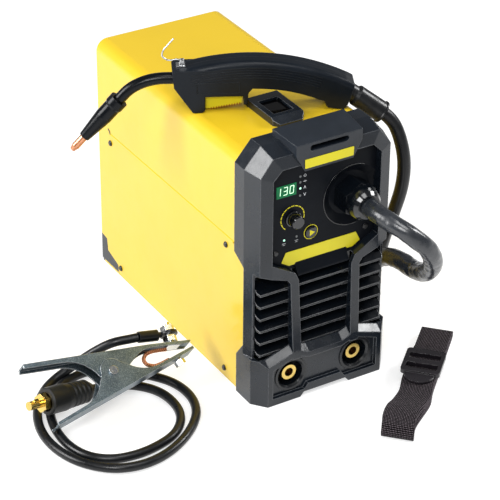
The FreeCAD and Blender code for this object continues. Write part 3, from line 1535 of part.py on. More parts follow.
def clamp_braid():
    """The copper braid that joins the two jaws, in one open loop."""
    points = [v(*point) for point in braid_route]
    wire = rounded_wire(points, natural_radii(points), False)
    return clamped(swept(wire, braid_radius, points[0], points[1] - points[0]))


def on_strap(shape):
    """A strap piece moved from the strap's near edge to where it lies."""
    shape = shape.copy()
    place = FreeCAD.Placement(v(strap_near[0], strap_near[1], floor_gap), FreeCAD.Rotation(v(0, 0, 1), strap_turn))
    shape.Placement = place.multiply(shape.Placement)
    return shape


def strap_webbing():
    """Webbing folded to and fro in flat layers, with a round fold at alternate ends."""
    half = strap_wide / 2
    outer = (strap_pitch + strap_thick) / 2
    inner = (strap_pitch - strap_thick) / 2
    shapes = []
    for i in range(strap_layers):
        low = i * strap_pitch
        start = 22.0 if i == strap_layers - 1 else outer
        shapes.append(box(start, strap_long - outer, -half, half, low, low + strap_thick))
        if i == strap_layers - 1:
            continue
        far = i % 2 == 0
        p = strap_long - outer if far else outer
        z = low + strap_thick + inner
        ring = rod(outer, v(p, -half, z), v(p, half, z)).cut(rod(inner, v(p, -half - 1, z), v(p, half + 1, z)))
        cheek = box(p, p + outer, -half, half, z - outer, z + outer) if far else box(p - outer, p, -half, half,
                                                                                     z - outer, z + outer)
        shapes.append(ring.common(cheek))
    return on_strap(joined(shapes))


def strap_buckle():
    """A ladder-lock buckle: a frame with two slots and a round-ended tongue."""
    low = (strap_layers - 1) * strap_pitch + strap_thick + seat_gap
    half = buckle_wide / 2
    end = buckle_at + buckle_long
    frame = prism("z", low, low + buckle_tall, [(buckle_at, -half, 4), (end, -half, 4), (end, half, 4),
                                                (buckle_at, half, 4)])
    for p in (buckle_at + 1.5 * buckle_bar, end - 2 * buckle_bar - buckle_slot):
        frame = frame.cut(prism("z", low - 1, low + buckle_tall + 1,
                                [(p, buckle_bar - half, 1), (p + buckle_slot, buckle_bar - half, 1),
                                 (p + buckle_slot, half - buckle_bar, 1), (p, half - buckle_bar, 1)]))
    tongue = Part.makeCylinder(tongue_radius, buckle_tall - 2, v(buckle_at, 0, low))
    tongue = tongue.common(box(buckle_at - 2 * tongue_radius, buckle_at + 1, -half, half, low - 1, low + buckle_tall))
    return on_strap(joined([frame, tongue]))


def main():
    os.makedirs("parts", exist_ok=True)
    makers = (base_pan, front_bezel, louvre_grille, control_panel, front_hood, top_cover, side_panel_left,
              side_panel_right, rear_panel, divider_plate, case_screws, display_window, indicator_lamps,
              amp_knob, select_button, socket_bodies, socket_contacts, torch_gland_body, torch_gland_nut,
              window_frame, window_pane, power_board, fan_frame, fan_rotor, power_switch_body,
              power_rocker, mains_gland, feed_base, feed_motor, drive_roll, pressure_arm, pressure_roll,
              wire_spool, spool_door, door_hinge_leaves, door_latch,
              torch_handle_left, torch_handle_right, torch_trigger, torch_neck, torch_nozzle, contact_tip,
              torch_hook, torch_hook_clip, torch_boot, torch_lead_sleeve, torch_lead_coil, torch_lead_upper,
              earth_plug_body, earth_plug_pin, earth_lead, clamp_lower_arm, clamp_upper_arm, clamp_pivot,
              clamp_upper_contact, clamp_lower_contact, clamp_lug, clamp_braid, strap_webbing, strap_buckle)
    for make in makers:
        save(make.__name__, make())


main()
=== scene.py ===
import math

import bpy
from bpy.props import FloatProperty, FloatVectorProperty, PointerProperty
from mathutils import Matrix, Vector, noise


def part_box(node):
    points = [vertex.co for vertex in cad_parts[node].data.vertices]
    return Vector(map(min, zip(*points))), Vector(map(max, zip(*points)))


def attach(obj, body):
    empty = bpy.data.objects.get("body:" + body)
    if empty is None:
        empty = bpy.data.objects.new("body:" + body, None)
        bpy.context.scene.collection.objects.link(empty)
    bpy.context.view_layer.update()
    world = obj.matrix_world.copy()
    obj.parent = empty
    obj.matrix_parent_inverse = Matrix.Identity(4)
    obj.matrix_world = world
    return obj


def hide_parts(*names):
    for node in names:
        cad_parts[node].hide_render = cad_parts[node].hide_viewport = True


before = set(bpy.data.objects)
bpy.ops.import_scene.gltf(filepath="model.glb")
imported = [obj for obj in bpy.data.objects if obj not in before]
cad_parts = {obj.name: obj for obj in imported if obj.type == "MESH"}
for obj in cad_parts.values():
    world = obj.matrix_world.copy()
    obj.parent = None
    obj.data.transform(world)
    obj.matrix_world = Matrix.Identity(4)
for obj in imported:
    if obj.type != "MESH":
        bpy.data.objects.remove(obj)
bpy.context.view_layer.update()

bl_info = {
    "name": "Welding machine",
    "version": (1, 0, 0),
    "blender": (4, 5, 0),
    "location": "View3D > Sidebar > Welder",
    "description": "Leads, strap, panel marks and finishes of a portable MIG welding machine",
    "category": "Object",
}

MACHINE = "machine"

# Places on the machine, in metres
WINDOW_PROUD = 0.0005
LAMP_PROUD = 0.0004
PANEL_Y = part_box("display_window")[0].y + WINDOW_PROUD
FLOOR_Z = -0.0002
LEAD_REST = 0.0072
EARTH_REST = 0.005
GLAND_EXIT = (0.035, -0.186, 0.212)
SLEEVE_END = (0.095, 0.148, 0.0102)
COIL_CENTRE = (0.183, 0.190)
COIL_ENTRY_Y = 0.172
LUG_EXIT = (-0.1544, -0.0572, 0.0498)
LUG_STRAIGHT = 0.010
PLUG_REAR = Vector((-0.2155, -0.0674, 0.0128))
PLUG_TURN = Vector((-0.947, -0.228, 0.225)).normalized()
PLUG_STRAIGHT = 0.0138

# Out of the gland, down to the floor and back along the machine's right side
SLEEVE_ROUTE = (
    GLAND_EXIT, (0.035, -0.209, 0.212), (0.048, -0.236, 0.204), (0.068, -0.245, 0.184),
    (0.085, -0.230, 0.155), (0.095, -0.206, 0.129), (0.100, -0.179, 0.115), (0.1005, -0.151, 0.114),
    (0.099, -0.124, 0.105), (0.098, -0.100, 0.082), (0.098, -0.077, 0.050), (0.097, -0.050, 0.024),
    (0.096, -0.015, 0.0103), (0.0935, 0.028, 0.0102), (0.0955, 0.070, 0.0102), (0.095, 0.109, 0.0102),
    SLEEVE_END,
)
# Off the coil, forward beside the sleeve and up to the torch's boot
UPPER_ROUTE = (
    (0.169, 0.0975, 0.0219), (0.1523, 0.0975, 0.0219), (0.137, 0.0915, 0.0188), (0.125, 0.080, 0.0154),
    (0.1186, 0.0635, 0.012), (0.1205, 0.040, 0.0092), (0.124, 0.014, 0.0086), (0.126, -0.014, 0.0098),
    (0.125, -0.042, 0.020), (0.122, -0.068, 0.043), (0.118, -0.086, 0.070), (0.114, -0.098, 0.098),
    (0.1135, -0.108, 0.126), (0.117, -0.116, 0.154), (0.121, -0.121, 0.182), (0.1225, -0.120, 0.210),
    (0.1195, -0.113, 0.236), (0.1131, -0.1063, 0.2534), (0.1045, -0.1020, 0.2606),
)
# The earth lead's two loops on the floor, (x, y)
EARTH_LOOPS = (
    (-0.234, -0.022), (-0.254, -0.036), (-0.272, -0.059), (-0.284, -0.086), (-0.288, -0.113),
    (-0.285, -0.140), (-0.274, -0.166), (-0.253, -0.188), (-0.226, -0.1965), (-0.198, -0.193),
    (-0.171, -0.180), (-0.149, -0.162), (-0.134, -0.142), (-0.127, -0.116), (-0.131, -0.088),
    (-0.146, -0.065), (-0.167, -0.044), (-0.189, -0.027), (-0.214, -0.027), (-0.236, -0.037),
    (-0.253, -0.053), (-0.266, -0.075), (-0.273, -0.103), (-0.274, -0.132), (-0.266, -0.157),
    (-0.247, -0.174), (-0.221, -0.179), (-0.196, -0.176), (-0.174, -0.168), (-0.157, -0.151),
    (-0.149, -0.130), (-0.149, -0.105), (-0.157, -0.085),
)
# Down from the clamp's lug, round the loops and in to the plug
EARTH_ROUTE = (
    (-0.181, -0.048, 0.047), (-0.198, -0.036, 0.033), (-0.214, -0.025, 0.016),
    *((x, y, EARTH_REST) for x, y in EARTH_LOOPS), (-0.174, -0.069, 0.0056),
)


class WelderSizes(bpy.types.PropertyGroup):
    """Sizes of the pieces that this script makes."""

    lead: FloatProperty(name="Torch lead", description="Outer diameter of the torch lead",
                        default=0.014, min=0.005, unit="LENGTH")
    sleeve: FloatProperty(name="Lead sleeve", description="Outer diameter of the torch lead's creased sleeve",
                          default=0.020, min=0.008, unit="LENGTH")
    earth_lead: FloatProperty(name="Earth lead", description="Outer diameter of the earth lead",
                              default=0.0095, min=0.003, unit="LENGTH")
    crease: FloatProperty(name="Crease depth", description="How deep the sleeve's folds are",
                          default=0.0018, min=0.0, unit="LENGTH")
    mark: FloatProperty(name="Print thickness", description="Thickness of the panel's printed marks",
                        default=0.00015, min=0.00005, unit="LENGTH")
    rim: FloatProperty(name="Dish rim", description="How far the rim round the gland's dish stands proud",
                       default=0.0005, min=0.0001, unit="LENGTH")
    plate: FloatProperty(name="Plate thickness", description="Thickness of the bare yellow plates",
                         default=0.0006, min=0.0002, unit="LENGTH")
    grip_pitch: FloatProperty(name="Grip line pitch", description="Distance between the grip's raised lines",
                              default=0.0027, min=0.001, unit="LENGTH")
    grip_line: FloatProperty(name="Grip line", description="Radius of the grip's raised lines, half sunk in",
                             default=0.0004, min=0.0001, unit="LENGTH")
    flute: FloatProperty(name="Knob flute", description="Radius of a flute on the knob",
                         default=0.00045, min=0.0001, unit="LENGTH")
    flute_ring: FloatProperty(name="Flute ring", description="Radius of the ring of flutes",
                              default=0.0067, min=0.002, unit="LENGTH")
    flute_long: FloatProperty(name="Flute length", description="Length of a flute",
                              default=0.0100, min=0.001, unit="LENGTH")
    tooth: FloatVectorProperty(name="Trigger ridge",
                               description="Length, width and height of a trigger ridge",
                               default=(0.0011, 0.0143, 0.0026), size=3, subtype="XYZ", unit="LENGTH")
    webbing: FloatProperty(name="Webbing thickness", description="Thickness of the strap's webbing",
                           default=0.0015, min=0.0005, unit="LENGTH")


class WelderColours(bpy.types.PropertyGroup):
    """Colours that a user would change."""

    case: FloatVectorProperty(name="Case", description="Colour of the painted case", subtype="COLOR",
                              size=3, default=(0.69, 0.470, 0.016), min=0, max=1)
    moulded: FloatVectorProperty(name="Mouldings", description="Colour of the moulded front and torch",
                                 subtype="COLOR", size=3, default=(0.0062, 0.0092, 0.0140), min=0, max=1)
    panel: FloatVectorProperty(name="Panel", description="Colour of the control panel", subtype="COLOR",
                               size=3, default=(0.0052, 0.0064, 0.0090), min=0, max=1)
    plate: FloatVectorProperty(name="Plates", description="Colour of the bare plates and printed rings",
                               subtype="COLOR", size=3, default=(0.66, 0.58, 0.012), min=0, max=1)


def sizes():
    return bpy.context.scene.welder_sizes


def colours():
    return bpy.context.scene.welder_colours


# ---- Shader and geometry nodes ----

def fed(tree, made, inputs):
    """A node with its inputs set to values, or linked where a socket is given."""
    for key, value in dict(inputs).items():
        if isinstance(value, bpy.types.NodeSocket):
            tree.links.new(value, made.inputs[key])
        else:
            made.inputs[key].default_value = value
    return made


def node(tree, kind, inputs=(), **settings):
    """One new node, with its settings and its input values or links."""
    made = tree.nodes.new(kind)
    for key, value in settings.items():
        setattr(made, key, value)
    return fed(tree, made, inputs)


def place(tree, scale=(1, 1, 1), turn=(0, 0, 0)):
    """The object's own coordinates, stretched and turned for a pattern."""
    spot = node(tree, "ShaderNodeTexCoord").outputs["Object"]
    made = node(tree, "ShaderNodeMapping", {"Vector": spot, "Scale": scale, "Rotation": turn})
    return made.outputs["Vector"]


def clouds(tree, vector, scale, detail=4.0, rough=0.55):
    """Soft noise, mostly between 0.3 and 0.7."""
    made = node(tree, "ShaderNodeTexNoise", {"Vector": vector, "Scale": scale, "Detail": detail,
                                             "Roughness": rough})
    return made.outputs["Fac"]


def waves(tree, vector, scale, way="X", detail=2.0, detail_scale=1.0):
    """Bands across one way of the pattern, a little uneven."""
    made = node(tree, "ShaderNodeTexWave", {"Vector": vector, "Scale": scale, "Distortion": 1.0,
                                            "Detail": detail, "Detail Scale": detail_scale},
                bands_direction=way)
    return made.outputs["Fac"]


def ranged(tree, value, low, high, start=0.3, end=0.7):
    """A value from start to end, brought to run from low to high."""
    made = node(tree, "ShaderNodeMapRange", {"Value": value, "From Min": start, "From Max": end,
                                             "To Min": low, "To Max": high})
    return made.outputs["Result"]


def maths(tree, operation, first, second):
    return node(tree, "ShaderNodeMath", {0: first, 1: second}, operation=operation).outputs[0]


def blended(tree, share, first, second):
    """Two colours, or sockets that carry colours, mixed by a share."""
    ends = [end if isinstance(end, bpy.types.NodeSocket) else (*end, 1) for end in (first, second)]
    made = node(tree, "ShaderNodeMix", {"Factor": share, "A": ends[0], "B": ends[1]}, data_type="RGBA")
    return made.outputs["Result"]


def mottled(tree, spot, scale, detail, first, second):
    """Two colours that drift into each other over the piece."""
    return blended(tree, ranged(tree, clouds(tree, spot, scale, detail), 0, 1), first, second)


def bumped(tree, height, distance, strength=1.0, normal=None):
    """Normals that follow a height, over the normals given."""
    made = node(tree, "ShaderNodeBump", {"Height": height, "Distance": distance, "Strength": strength})
    if normal is not None:
        tree.links.new(normal, made.inputs["Normal"])
    return made.outputs["Normal"]


def soft_edges(tree, radius):
    """Normals that round every edge a little, and a mask of where the edges are."""
    rounded = node(tree, "ShaderNodeBevel", {"Radius": radius}, samples=6).outputs["Normal"]
    flat = node(tree, "ShaderNodeNewGeometry").outputs["Normal"]
    dot = node(tree, "ShaderNodeVectorMath", {0: rounded, 1: flat}, operation="DOT_PRODUCT")
    return rounded, ranged(tree, dot.outputs["Value"], 1.0, 0.0, 0.80, 0.99)


# ---- Finishes ----

FINISH_END = "_finish"
WHITE = (1, 1, 1, 1)
# How far plastic edges are lightened: partly wear, partly a painted highlight.
EDGE_WEAR_AND_HIGHLIGHT_LIFT = 0.035
EDGE_WEAR_AND_HIGHLIGHT_TINT = 2.2
DUST_LIFT = 0.008
DUST_TINT = 1.6


def new_finish(name):
    """A new material's node tree, and its shader."""
    material = bpy.data.materials.new(name + FINISH_END)
    material.use_nodes = True
    return material.node_tree, material.node_tree.nodes["Principled BSDF"]


def finish_of(name):
    return bpy.data.materials[name + FINISH_END]


def tinted(colour, share):
    return tuple(min(1.0, c * share) for c in colour)


def plastic(name, colour, roughness, grain=0.00006, edge=0.0009, coat=0.0, cast=0.25, shine=0.35, rub_and_highlight=0.4):
    """Moulded plastic: fine spark grain, uneven gloss, and edges lightened partly as wear and partly as a
    painted highlight.
    """
    tree, shader = new_finish(name)
    spot = place(tree)
    rounded, edge_mask = soft_edges(tree, edge)
    body = mottled(tree, spot, 22, 5, tinted(colour, 1 - cast), tinted(colour, 1 + cast))
    # Edge lightening: partly wear, partly a painted highlight where the edges catch the light.
    wear_and_highlight = maths(tree, "MULTIPLY", edge_mask, ranged(tree, clouds(tree, spot, 140), rub_and_highlight / 3, rub_and_highlight))
    fed(tree, shader, {
        "Base Color": blended(tree, wear_and_highlight, body, tinted([c + EDGE_WEAR_AND_HIGHLIGHT_LIFT * rub_and_highlight for c in colour], EDGE_WEAR_AND_HIGHLIGHT_TINT)),
        "Roughness": ranged(tree, clouds(tree, spot, 60, 6), roughness - 0.06, roughness + 0.07),
        "Normal": bumped(tree, clouds(tree, spot, 1500, 2), grain, 0.5, rounded),
        "Coat Weight": coat,
        "Coat Roughness": 0.06,
        "Specular IOR Level": shine,
    })


def powder_coat(name, colour):
    """Powder paint on sheet steel: a faint orange peel under a soft gloss, with a painted highlight along the
    edges.
    """
    tree, shader = new_finish(name)
    spot = place(tree)
    rounded, edge_mask = soft_edges(tree, 0.0007)
    body = mottled(tree, spot, 7, 3, tinted(colour, 0.955), tinted(colour, 1.02))
    fed(tree, shader, {
        # Painted highlight: the edges lightened towards pale yellow.
        "Base Color": blended(tree, ranged(tree, edge_mask, 0, 0.25, 0, 1), body, (1.0, 0.86, 0.25)),
        "Roughness": ranged(tree, clouds(tree, spot, 45, 5), 0.30, 0.40),
        "Normal": bumped(tree, clouds(tree, spot, 520, 2, 0.4), 0.00008, 0.5, rounded),
        "Coat Weight": 0.35,
        "Coat Roughness": 0.10,
    })


def metal(name, colour, roughness, brushed=(1, 1, 1)):
    """Bare or plated metal, with uneven gloss and, where given, streaks stretched along one way."""
    tree, shader = new_finish(name)
    spot = place(tree)
    rounded, edge_mask = soft_edges(tree, 0.0004)
    tone = mottled(tree, spot, 90, 6, tinted(colour, 0.8), colour)
    fed(tree, shader, {
        # The edges are a little lighter.
        "Base Color": blended(tree, ranged(tree, edge_mask, 0, 0.6, 0, 1), tone, tinted(colour, 1.3)),
        "Roughness": ranged(tree, clouds(tree, spot, 200, 5), roughness - 0.08, roughness + 0.10),
        "Normal": bumped(tree, clouds(tree, place(tree, brushed), 900, 3), 0.00004, 0.4, rounded),
        "Metallic": 1.0,
    })


def galvanised(name):
    """Blue-grey plated sheet steel: salt-and-pepper grain, broad soft stains and edges whitened as a painted
    highlight.
    """
    tree, shader = new_finish(name)
    spot = place(tree)
    rounded, edge_mask = soft_edges(tree, 0.0006)
    stain = mottled(tree, spot, 38, 4, (0.078, 0.108, 0.130), (0.142, 0.184, 0.212))
    grain = ranged(tree, clouds(tree, spot, 850, 2, 0.6), 0, 0.6, 0.45, 0.72)
    tone = blended(tree, grain, stain, (0.37, 0.44, 0.475))
    fed(tree, shader, {
        # Painted highlight: the edges whitened towards bright silver.
        "Base Color": blended(tree, ranged(tree, edge_mask, 0, 0.9, 0, 1), tone, (0.95, 0.97, 0.98)),
        "Roughness": ranged(tree, clouds(tree, spot, 120, 5), 0.30, 0.46),
        "Normal": bumped(tree, clouds(tree, spot, 900, 3), 0.00004, 0.5, rounded),
        "Metallic": 0.9,
    })


def rubber(name, colour, roughness, shine=0.35):
    """Rubber or soft vinyl, a little uneven and a little dusty."""
    tree, shader = new_finish(name)
    spot = place(tree)
    dust = ranged(tree, clouds(tree, spot, 34, 6, 0.7), 0, 0.5, 0.5, 0.8)
    body = mottled(tree, spot, 12, 3, tinted(colour, 0.7), tinted(colour, 1.3))
    fed(tree, shader, {
        "Base Color": blended(tree, dust, body, tinted([c + DUST_LIFT for c in colour], DUST_TINT)),
        "Roughness": ranged(tree, clouds(tree, spot, 80, 5), roughness - 0.08, roughness + 0.10),
        "Normal": bumped(tree, clouds(tree, spot, 700, 3), 0.00006, 0.5),
        "Specular IOR Level": shine,
    })


def dark_glass(name, colour, alpha):
    """Smoked glass with faint smears."""
    tree, shader = new_finish(name)
    spot = place(tree)
    fed(tree, shader, {
        "Base Color": mottled(tree, spot, 60, 4, tinted(colour, 0.7), colour),
        "Roughness": ranged(tree, clouds(tree, spot, 90), 0.04, 0.10),
        "Alpha": alpha,
        "Specular IOR Level": 0.2,
    })


def lit(name, colour, strength):
    """A lamp or digit that glows, a little uneven across its face."""
    tree, shader = new_finish(name)
    glow = mottled(tree, place(tree), 400, 4, tinted(colour, 0.85), colour)
    fed(tree, shader, {"Base Color": glow, "Emission Color": glow, "Emission Strength": strength,
                       "Roughness": 0.25})


def display_glass(name):
    """The display's green face, uneven behind the digits."""
    tree, shader = new_finish(name)
    face = mottled(tree, place(tree), 110, 3, (0.0, 0.050, 0.016), (0.0, 0.115, 0.036))
    fed(tree, shader, {"Base Color": face, "Emission Color": face, "Emission Strength": 0.9,
                       "Roughness": 0.15, "Specular IOR Level": 0.2})


def woven_webbing(name):
    """Flat-woven strap webbing: ribs across the strap over fine yarns along it, with painted highlights on
    the raised yarns and painted shade in the gaps.
    """
    tree, shader = new_finish(name)
    uv = node(tree, "ShaderNodeTexCoord").outputs["UV"]
    ribs = waves(tree, uv, 165.0, "X", 1.0, 3.0)
    yarns = waves(tree, uv, 200.0, "Y", 2.0, 3.0)
    fuzz = clouds(tree, place(tree), 900, 4)
    weave = maths(tree, "MULTIPLY", ribs, yarns)
    raised = ranged(tree, weave, 0, 1, 0.40, 0.80)
    # Painted light: raised yarns lightened to grey as a highlight, the gaps between them near black as shade.
    tone = blended(tree, raised, (0.0006, 0.0004, 0.0006), (0.230, 0.190, 0.215))
    fed(tree, shader, {
        "Base Color": blended(tree, ranged(tree, fuzz, 0, 0.5, 0.45, 0.7), tone, (0.012, 0.009, 0.011)),
        "Roughness": ranged(tree, fuzz, 0.72, 0.92),
        "Normal": bumped(tree, fuzz, 0.0001, 0.5, bumped(tree, weave, 0.0006)),
        "Sheen Weight": 0.04,
        "Specular IOR Level": 0.06,
    })


def copper_braid(name):
    """Flat copper braid: two sets of fine strands crossing."""
    tree, shader = new_finish(name)
    first = waves(tree, place(tree, turn=(0.5, 0.3, 0.8)), 230.0)
    second = waves(tree, place(tree, turn=(-0.5, 0.3, -0.8)), 230.0)
    weave = maths(tree, "MAXIMUM", first, second)
    fed(tree, shader, {
        "Base Color": blended(tree, weave, (0.10, 0.03, 0.015), (0.85, 0.36, 0.20)),
        "Roughness": ranged(tree, weave, 0.55, 0.3, 0, 1),
        "Normal": bumped(tree, weave, 0.0005),
        "Metallic": 0.9,
    })


# ---- Shapes ----

def put(name, data):
    """A new object in the scene that holds the data."""
    made = bpy.data.objects.new(name, data)
    bpy.context.scene.collection.objects.link(made)
    return made


def piece_from(name, mesh, finish, body):
    """A finished mesh as an object at the origin that rides on a body."""
    made = put(name, mesh)
    if finish:
        made.data.materials.append(finish_of(finish))
    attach(made, body)
    return made


def mesh_of(name, points, faces, smooth=False):
    mesh = bpy.data.meshes.new(name)
    mesh.from_pydata(points, [], faces)
    mesh.validate()
    if smooth:
        mesh.shade_smooth()
    return mesh


def evaluated_mesh(made):
    """The plain mesh of an object as Blender works it out."""
    bpy.context.view_layer.update()
    return bpy.data.meshes.new_from_object(made.evaluated_get(bpy.context.evaluated_depsgraph_get()))


def cord_curve(name, route, diameter, finish):
    """An open spline through a route, thick as the cord."""
    curve = bpy.data.curves.new(name, "CURVE")
    curve.dimensions = "3D"
    curve.bevel_depth = diameter / 2
    curve.bevel_resolution = 7
    curve.resolution_u = 8
    curve.use_fill_caps = True
    spline = curve.splines.new("NURBS")
    spline.points.add(len(route) - 1)
    for point, spot in zip(spline.points, route):
        point.co = (*spot, 1)
    spline.order_u = 3
    spline.use_endpoint_u = True
    made = put(name, curve)
    made.data.materials.append(finish_of(finish))
    return made


def centreline(route):
    """Points along a route's spline, as Blender works them out for a curve with no thickness."""
    bare = cord_curve("bare_line", route, 0, "lead_rubber")
    curve = bare.data
    curve.resolution_u = 24
    mesh = evaluated_mesh(bare)
    points = [vertex.co.copy() for vertex in mesh.vertices]
    bpy.data.objects.remove(bare)
    bpy.data.curves.remove(curve)
    bpy.data.meshes.remove(mesh)
    return points


def length_of(line):
    return sum((b - a).length for a, b in zip(line, line[1:]))


def stepped(line, step):
    """The same line with its points a steady distance apart."""
    whole = length_of(line)
    count = max(2, round(whole / step))
    points, travelled, i = [], 0.0, 0
    for goal in (whole * k / count for k in range(count + 1)):
        while i < len(line) - 2 and travelled + (line[i + 1] - line[i]).length < goal:
            travelled += (line[i + 1] - line[i]).length
            i += 1
        run = line[i + 1] - line[i]
        points.append(line[i] + run * min(1.0, (goal - travelled) / max(run.length, 1e-9)))
    return points


def hose_mesh(name, line, radius_at, sides=40):
    """A closed hose along a line; radius_at gives its radius at a ring, an angle and a bend direction."""
    points, faces = [], []
    across = Vector((0, 0, 1))
    for i, spot in enumerate(line):
        ahead = (line[min(i + 1, len(line) - 1)] - line[max(i - 1, 0)]).normalized()
        across = (across - ahead * across.dot(ahead)).normalized()
        other = ahead.cross(across)
        bend = Vector((0, 0, 0))
        if 0 < i < len(line) - 1:
            bend = line[i - 1] + line[i + 1] - 2 * spot
        for k in range(sides):
            turn = 2 * math.pi * k / sides
            out = across * math.cos(turn) + other * math.sin(turn)
            points.append(spot + out * radius_at(i, turn, out, bend))
    for i in range(len(line) - 1):
        for k in range(sides):
            a, b = i * sides + k, i * sides + (k + 1) % sides
            faces.append((a, b, b + sides, a + sides))
    points += [line[0], line[-1]]
    last = (len(line) - 1) * sides
    for k in range(sides):
        faces.append(((k + 1) % sides, k, len(points) - 2))
        faces.append((last + k, last + (k + 1) % sides, len(points) - 1))
    return mesh_of(name, points, faces, True)


# ---- Node trees for what repeats ----

def shape_tree(name, **inputs):
    """An empty geometry tree with named inputs, and its input and output nodes."""
    tree = bpy.data.node_groups.new(name, "GeometryNodeTree")
    for label, kind in inputs.items():
        tree.interface.new_socket(label, in_out="INPUT", socket_type="NodeSocket" + kind)
    tree.interface.new_socket("Geometry", in_out="OUTPUT", socket_type="NodeSocketGeometry")
    return tree, node(tree, "NodeGroupInput").outputs, node(tree, "NodeGroupOutput")


def copied(tree, given, out, spots, shape, scale=(1, 1, 1)):
    """Copy a shape onto every spot, realise the copies, give them their finish and send them out."""
    copies = node(tree, "GeometryNodeInstanceOnPoints", {"Points": spots.outputs["Mesh"],
                                                         "Instance": shape.outputs["Mesh"], "Scale": scale})
    real = node(tree, "GeometryNodeRealizeInstances", {"Geometry": copies.outputs["Instances"]})
    painted = node(tree, "GeometryNodeSetMaterial", {"Geometry": real.outputs["Geometry"],
                                                     "Material": given["Finish"]})
    tree.links.new(painted.outputs["Geometry"], out.inputs["Geometry"])
    return tree


def arc_row_tree():
    """Thin bars bent round one centre, each a spacing nearer to it than the last."""
    tree, given, out = shape_tree("arc_row", Bars="Int", Spacing="Float", Radius="Float", Start="Float",
                                  Sweep="Float", Bar="Float", Finish="Material")
    arc = node(tree, "GeometryNodeCurveArc", {"Resolution": 48, "Radius": given["Radius"],
                                              "Start Angle": given["Start"], "Sweep Angle": given["Sweep"]},
               mode="RADIUS")
    across = node(tree, "GeometryNodeCurvePrimitiveCircle", {"Resolution": 8, "Radius": given["Bar"]},
                  mode="RADIUS")
    bar = node(tree, "GeometryNodeCurveToMesh", {"Curve": arc.outputs["Curve"],
                                                 "Profile Curve": across.outputs["Curve"], "Fill Caps": True})
    spots = node(tree, "GeometryNodeMeshLine", {"Count": given["Bars"], "Offset": (0, 0, 0)})
    number = node(tree, "GeometryNodeInputIndex").outputs["Index"]
    inward = maths(tree, "MULTIPLY", number, given["Spacing"])
    scale = maths(tree, "SUBTRACT", 1.0, maths(tree, "DIVIDE", inward, given["Radius"]))
    return copied(tree, given, out, spots, bar, scale)


def block_row_tree():
    """Small blocks along a straight line."""
    tree, given, out = shape_tree("block_row", Blocks="Int", Step="Vector", Block="Vector", Finish="Material")
    spots = node(tree, "GeometryNodeMeshLine", {"Count": given["Blocks"], "Offset": given["Step"]})
    block = node(tree, "GeometryNodeMeshCube", {"Size": given["Block"]})
    return copied(tree, given, out, spots, block)


def ring_row_tree():
    """Round bars lying along Y, spaced round a ring."""
    tree, given, out = shape_tree("ring_row", Bars="Int", Radius="Float", Bar="Float", Depth="Float",
                                  Finish="Material")
    ring = node(tree, "GeometryNodeMeshCircle", {"Vertices": given["Bars"], "Radius": given["Radius"]})
    bar = node(tree, "GeometryNodeMeshCylinder", {"Vertices": 10, "Radius": given["Bar"],
                                                  "Depth": given["Depth"]})
    return copied(tree, given, out, ring, bar)


def grown(name, tree, values, at, body):
    """The plain mesh that a node tree makes from the values given, put in place."""
    holder = put(name + "_holder", bpy.data.meshes.new(name + "_holder"))
    modifier = holder.modifiers.new("grown", "NODES")
    modifier.node_group = tree
    for item in tree.interface.items_tree:
        if item.in_out == "INPUT":
            modifier[item.identifier] = values[item.name]
    mesh = evaluated_mesh(holder)
    mesh.transform(at)
    mesh.name = name
    bare = holder.data
    bpy.data.objects.remove(holder)
    bpy.data.meshes.remove(bare)
    return piece_from(name, mesh, None, body)


# ---- Printed marks, drawn on the panel in millimetres across and up ----

SEGMENTS = {"0": "abcdef", "1": "bc", "3": "abgcd"}
SEGMENT_GAP = 0.25
DIGIT_LEAN = 0.07


def box_mark(x, z, wide, tall, turn=0.0):
    """An oblong about its middle, turned in the panel."""
    corners = [(-wide / 2, -tall / 2), (wide / 2, -tall / 2), (wide / 2, tall / 2), (-wide / 2, tall / 2)]
    c, s = math.cos(turn), math.sin(turn)
    return [(x + u * c - w * s, z + u * s + w * c) for u, w in corners]


def disc_mark(x, z, radius, sides=16):
    turns = (2 * math.pi * i / sides for i in range(sides))
    return [(x + radius * math.cos(t), z + radius * math.sin(t)) for t in turns]


def arc_marks(x, z, inner, outer, start, end, steps):
    """A ring or arc as a row of four-cornered marks, angles in degrees from the right."""
    marks = []
    for i in range(steps):
        a = math.radians(start + (end - start) * i / steps)
        b = math.radians(start + (end - start) * (i + 1) / steps)
        marks.append([(x + r * math.cos(t), z + r * math.sin(t)) for r, t in
                      ((inner, a), (outer, a), (outer, b), (inner, b))])
    return marks


def digit_marks(character, x, z, wide, tall, thick):
    """A seven-segment digit, leaning a little to the right."""
    half_w, half_t = wide / 2, tall / 2
    bars = {"a": (0, half_t, wide, thick), "g": (0, 0, wide, thick), "d": (0, -half_t, wide, thick),
            "b": (half_w, half_t / 2, thick, half_t), "c": (half_w, -half_t / 2, thick, half_t),
            "f": (-half_w, half_t / 2, thick, half_t), "e": (-half_w, -half_t / 2, thick, half_t)}
    marks = []
    for bar in SEGMENTS[character]:
        u, w, bar_wide, bar_tall = bars[bar]
        corners = box_mark(u, w, bar_wide - SEGMENT_GAP, bar_tall - SEGMENT_GAP)
        marks.append([(x + a + b * DIGIT_LEAN, z + b) for a, b in corners])
    return marks


def printed(name, marks, finish, front, thickness, body=MACHINE):
    """Flat marks given in (x, z) millimetres, standing a hair proud of a face that looks towards -Y."""
    points, faces = [], []
    for mark in marks:
        area = sum(a[0] * b[1] - b[0] * a[1] for a, b in zip(mark, mark[1:] + mark[:1]))
        corners = mark if area > 0 else mark[::-1]
        base, count = len(points), len(corners)
        points += [(u / 1000, y, w / 1000) for y in (front - thickness, front) for u, w in corners]
        faces.append(tuple(range(base, base + count)))
        faces.append(tuple(range(base + 2 * count - 1, base + count - 1, -1)))
        for i in range(count):
            j = (i + 1) % count
            faces.append((base + j, base + i, base + count + i, base + count + j))
    return piece_from(name, mesh_of(name, points, faces), finish, body)


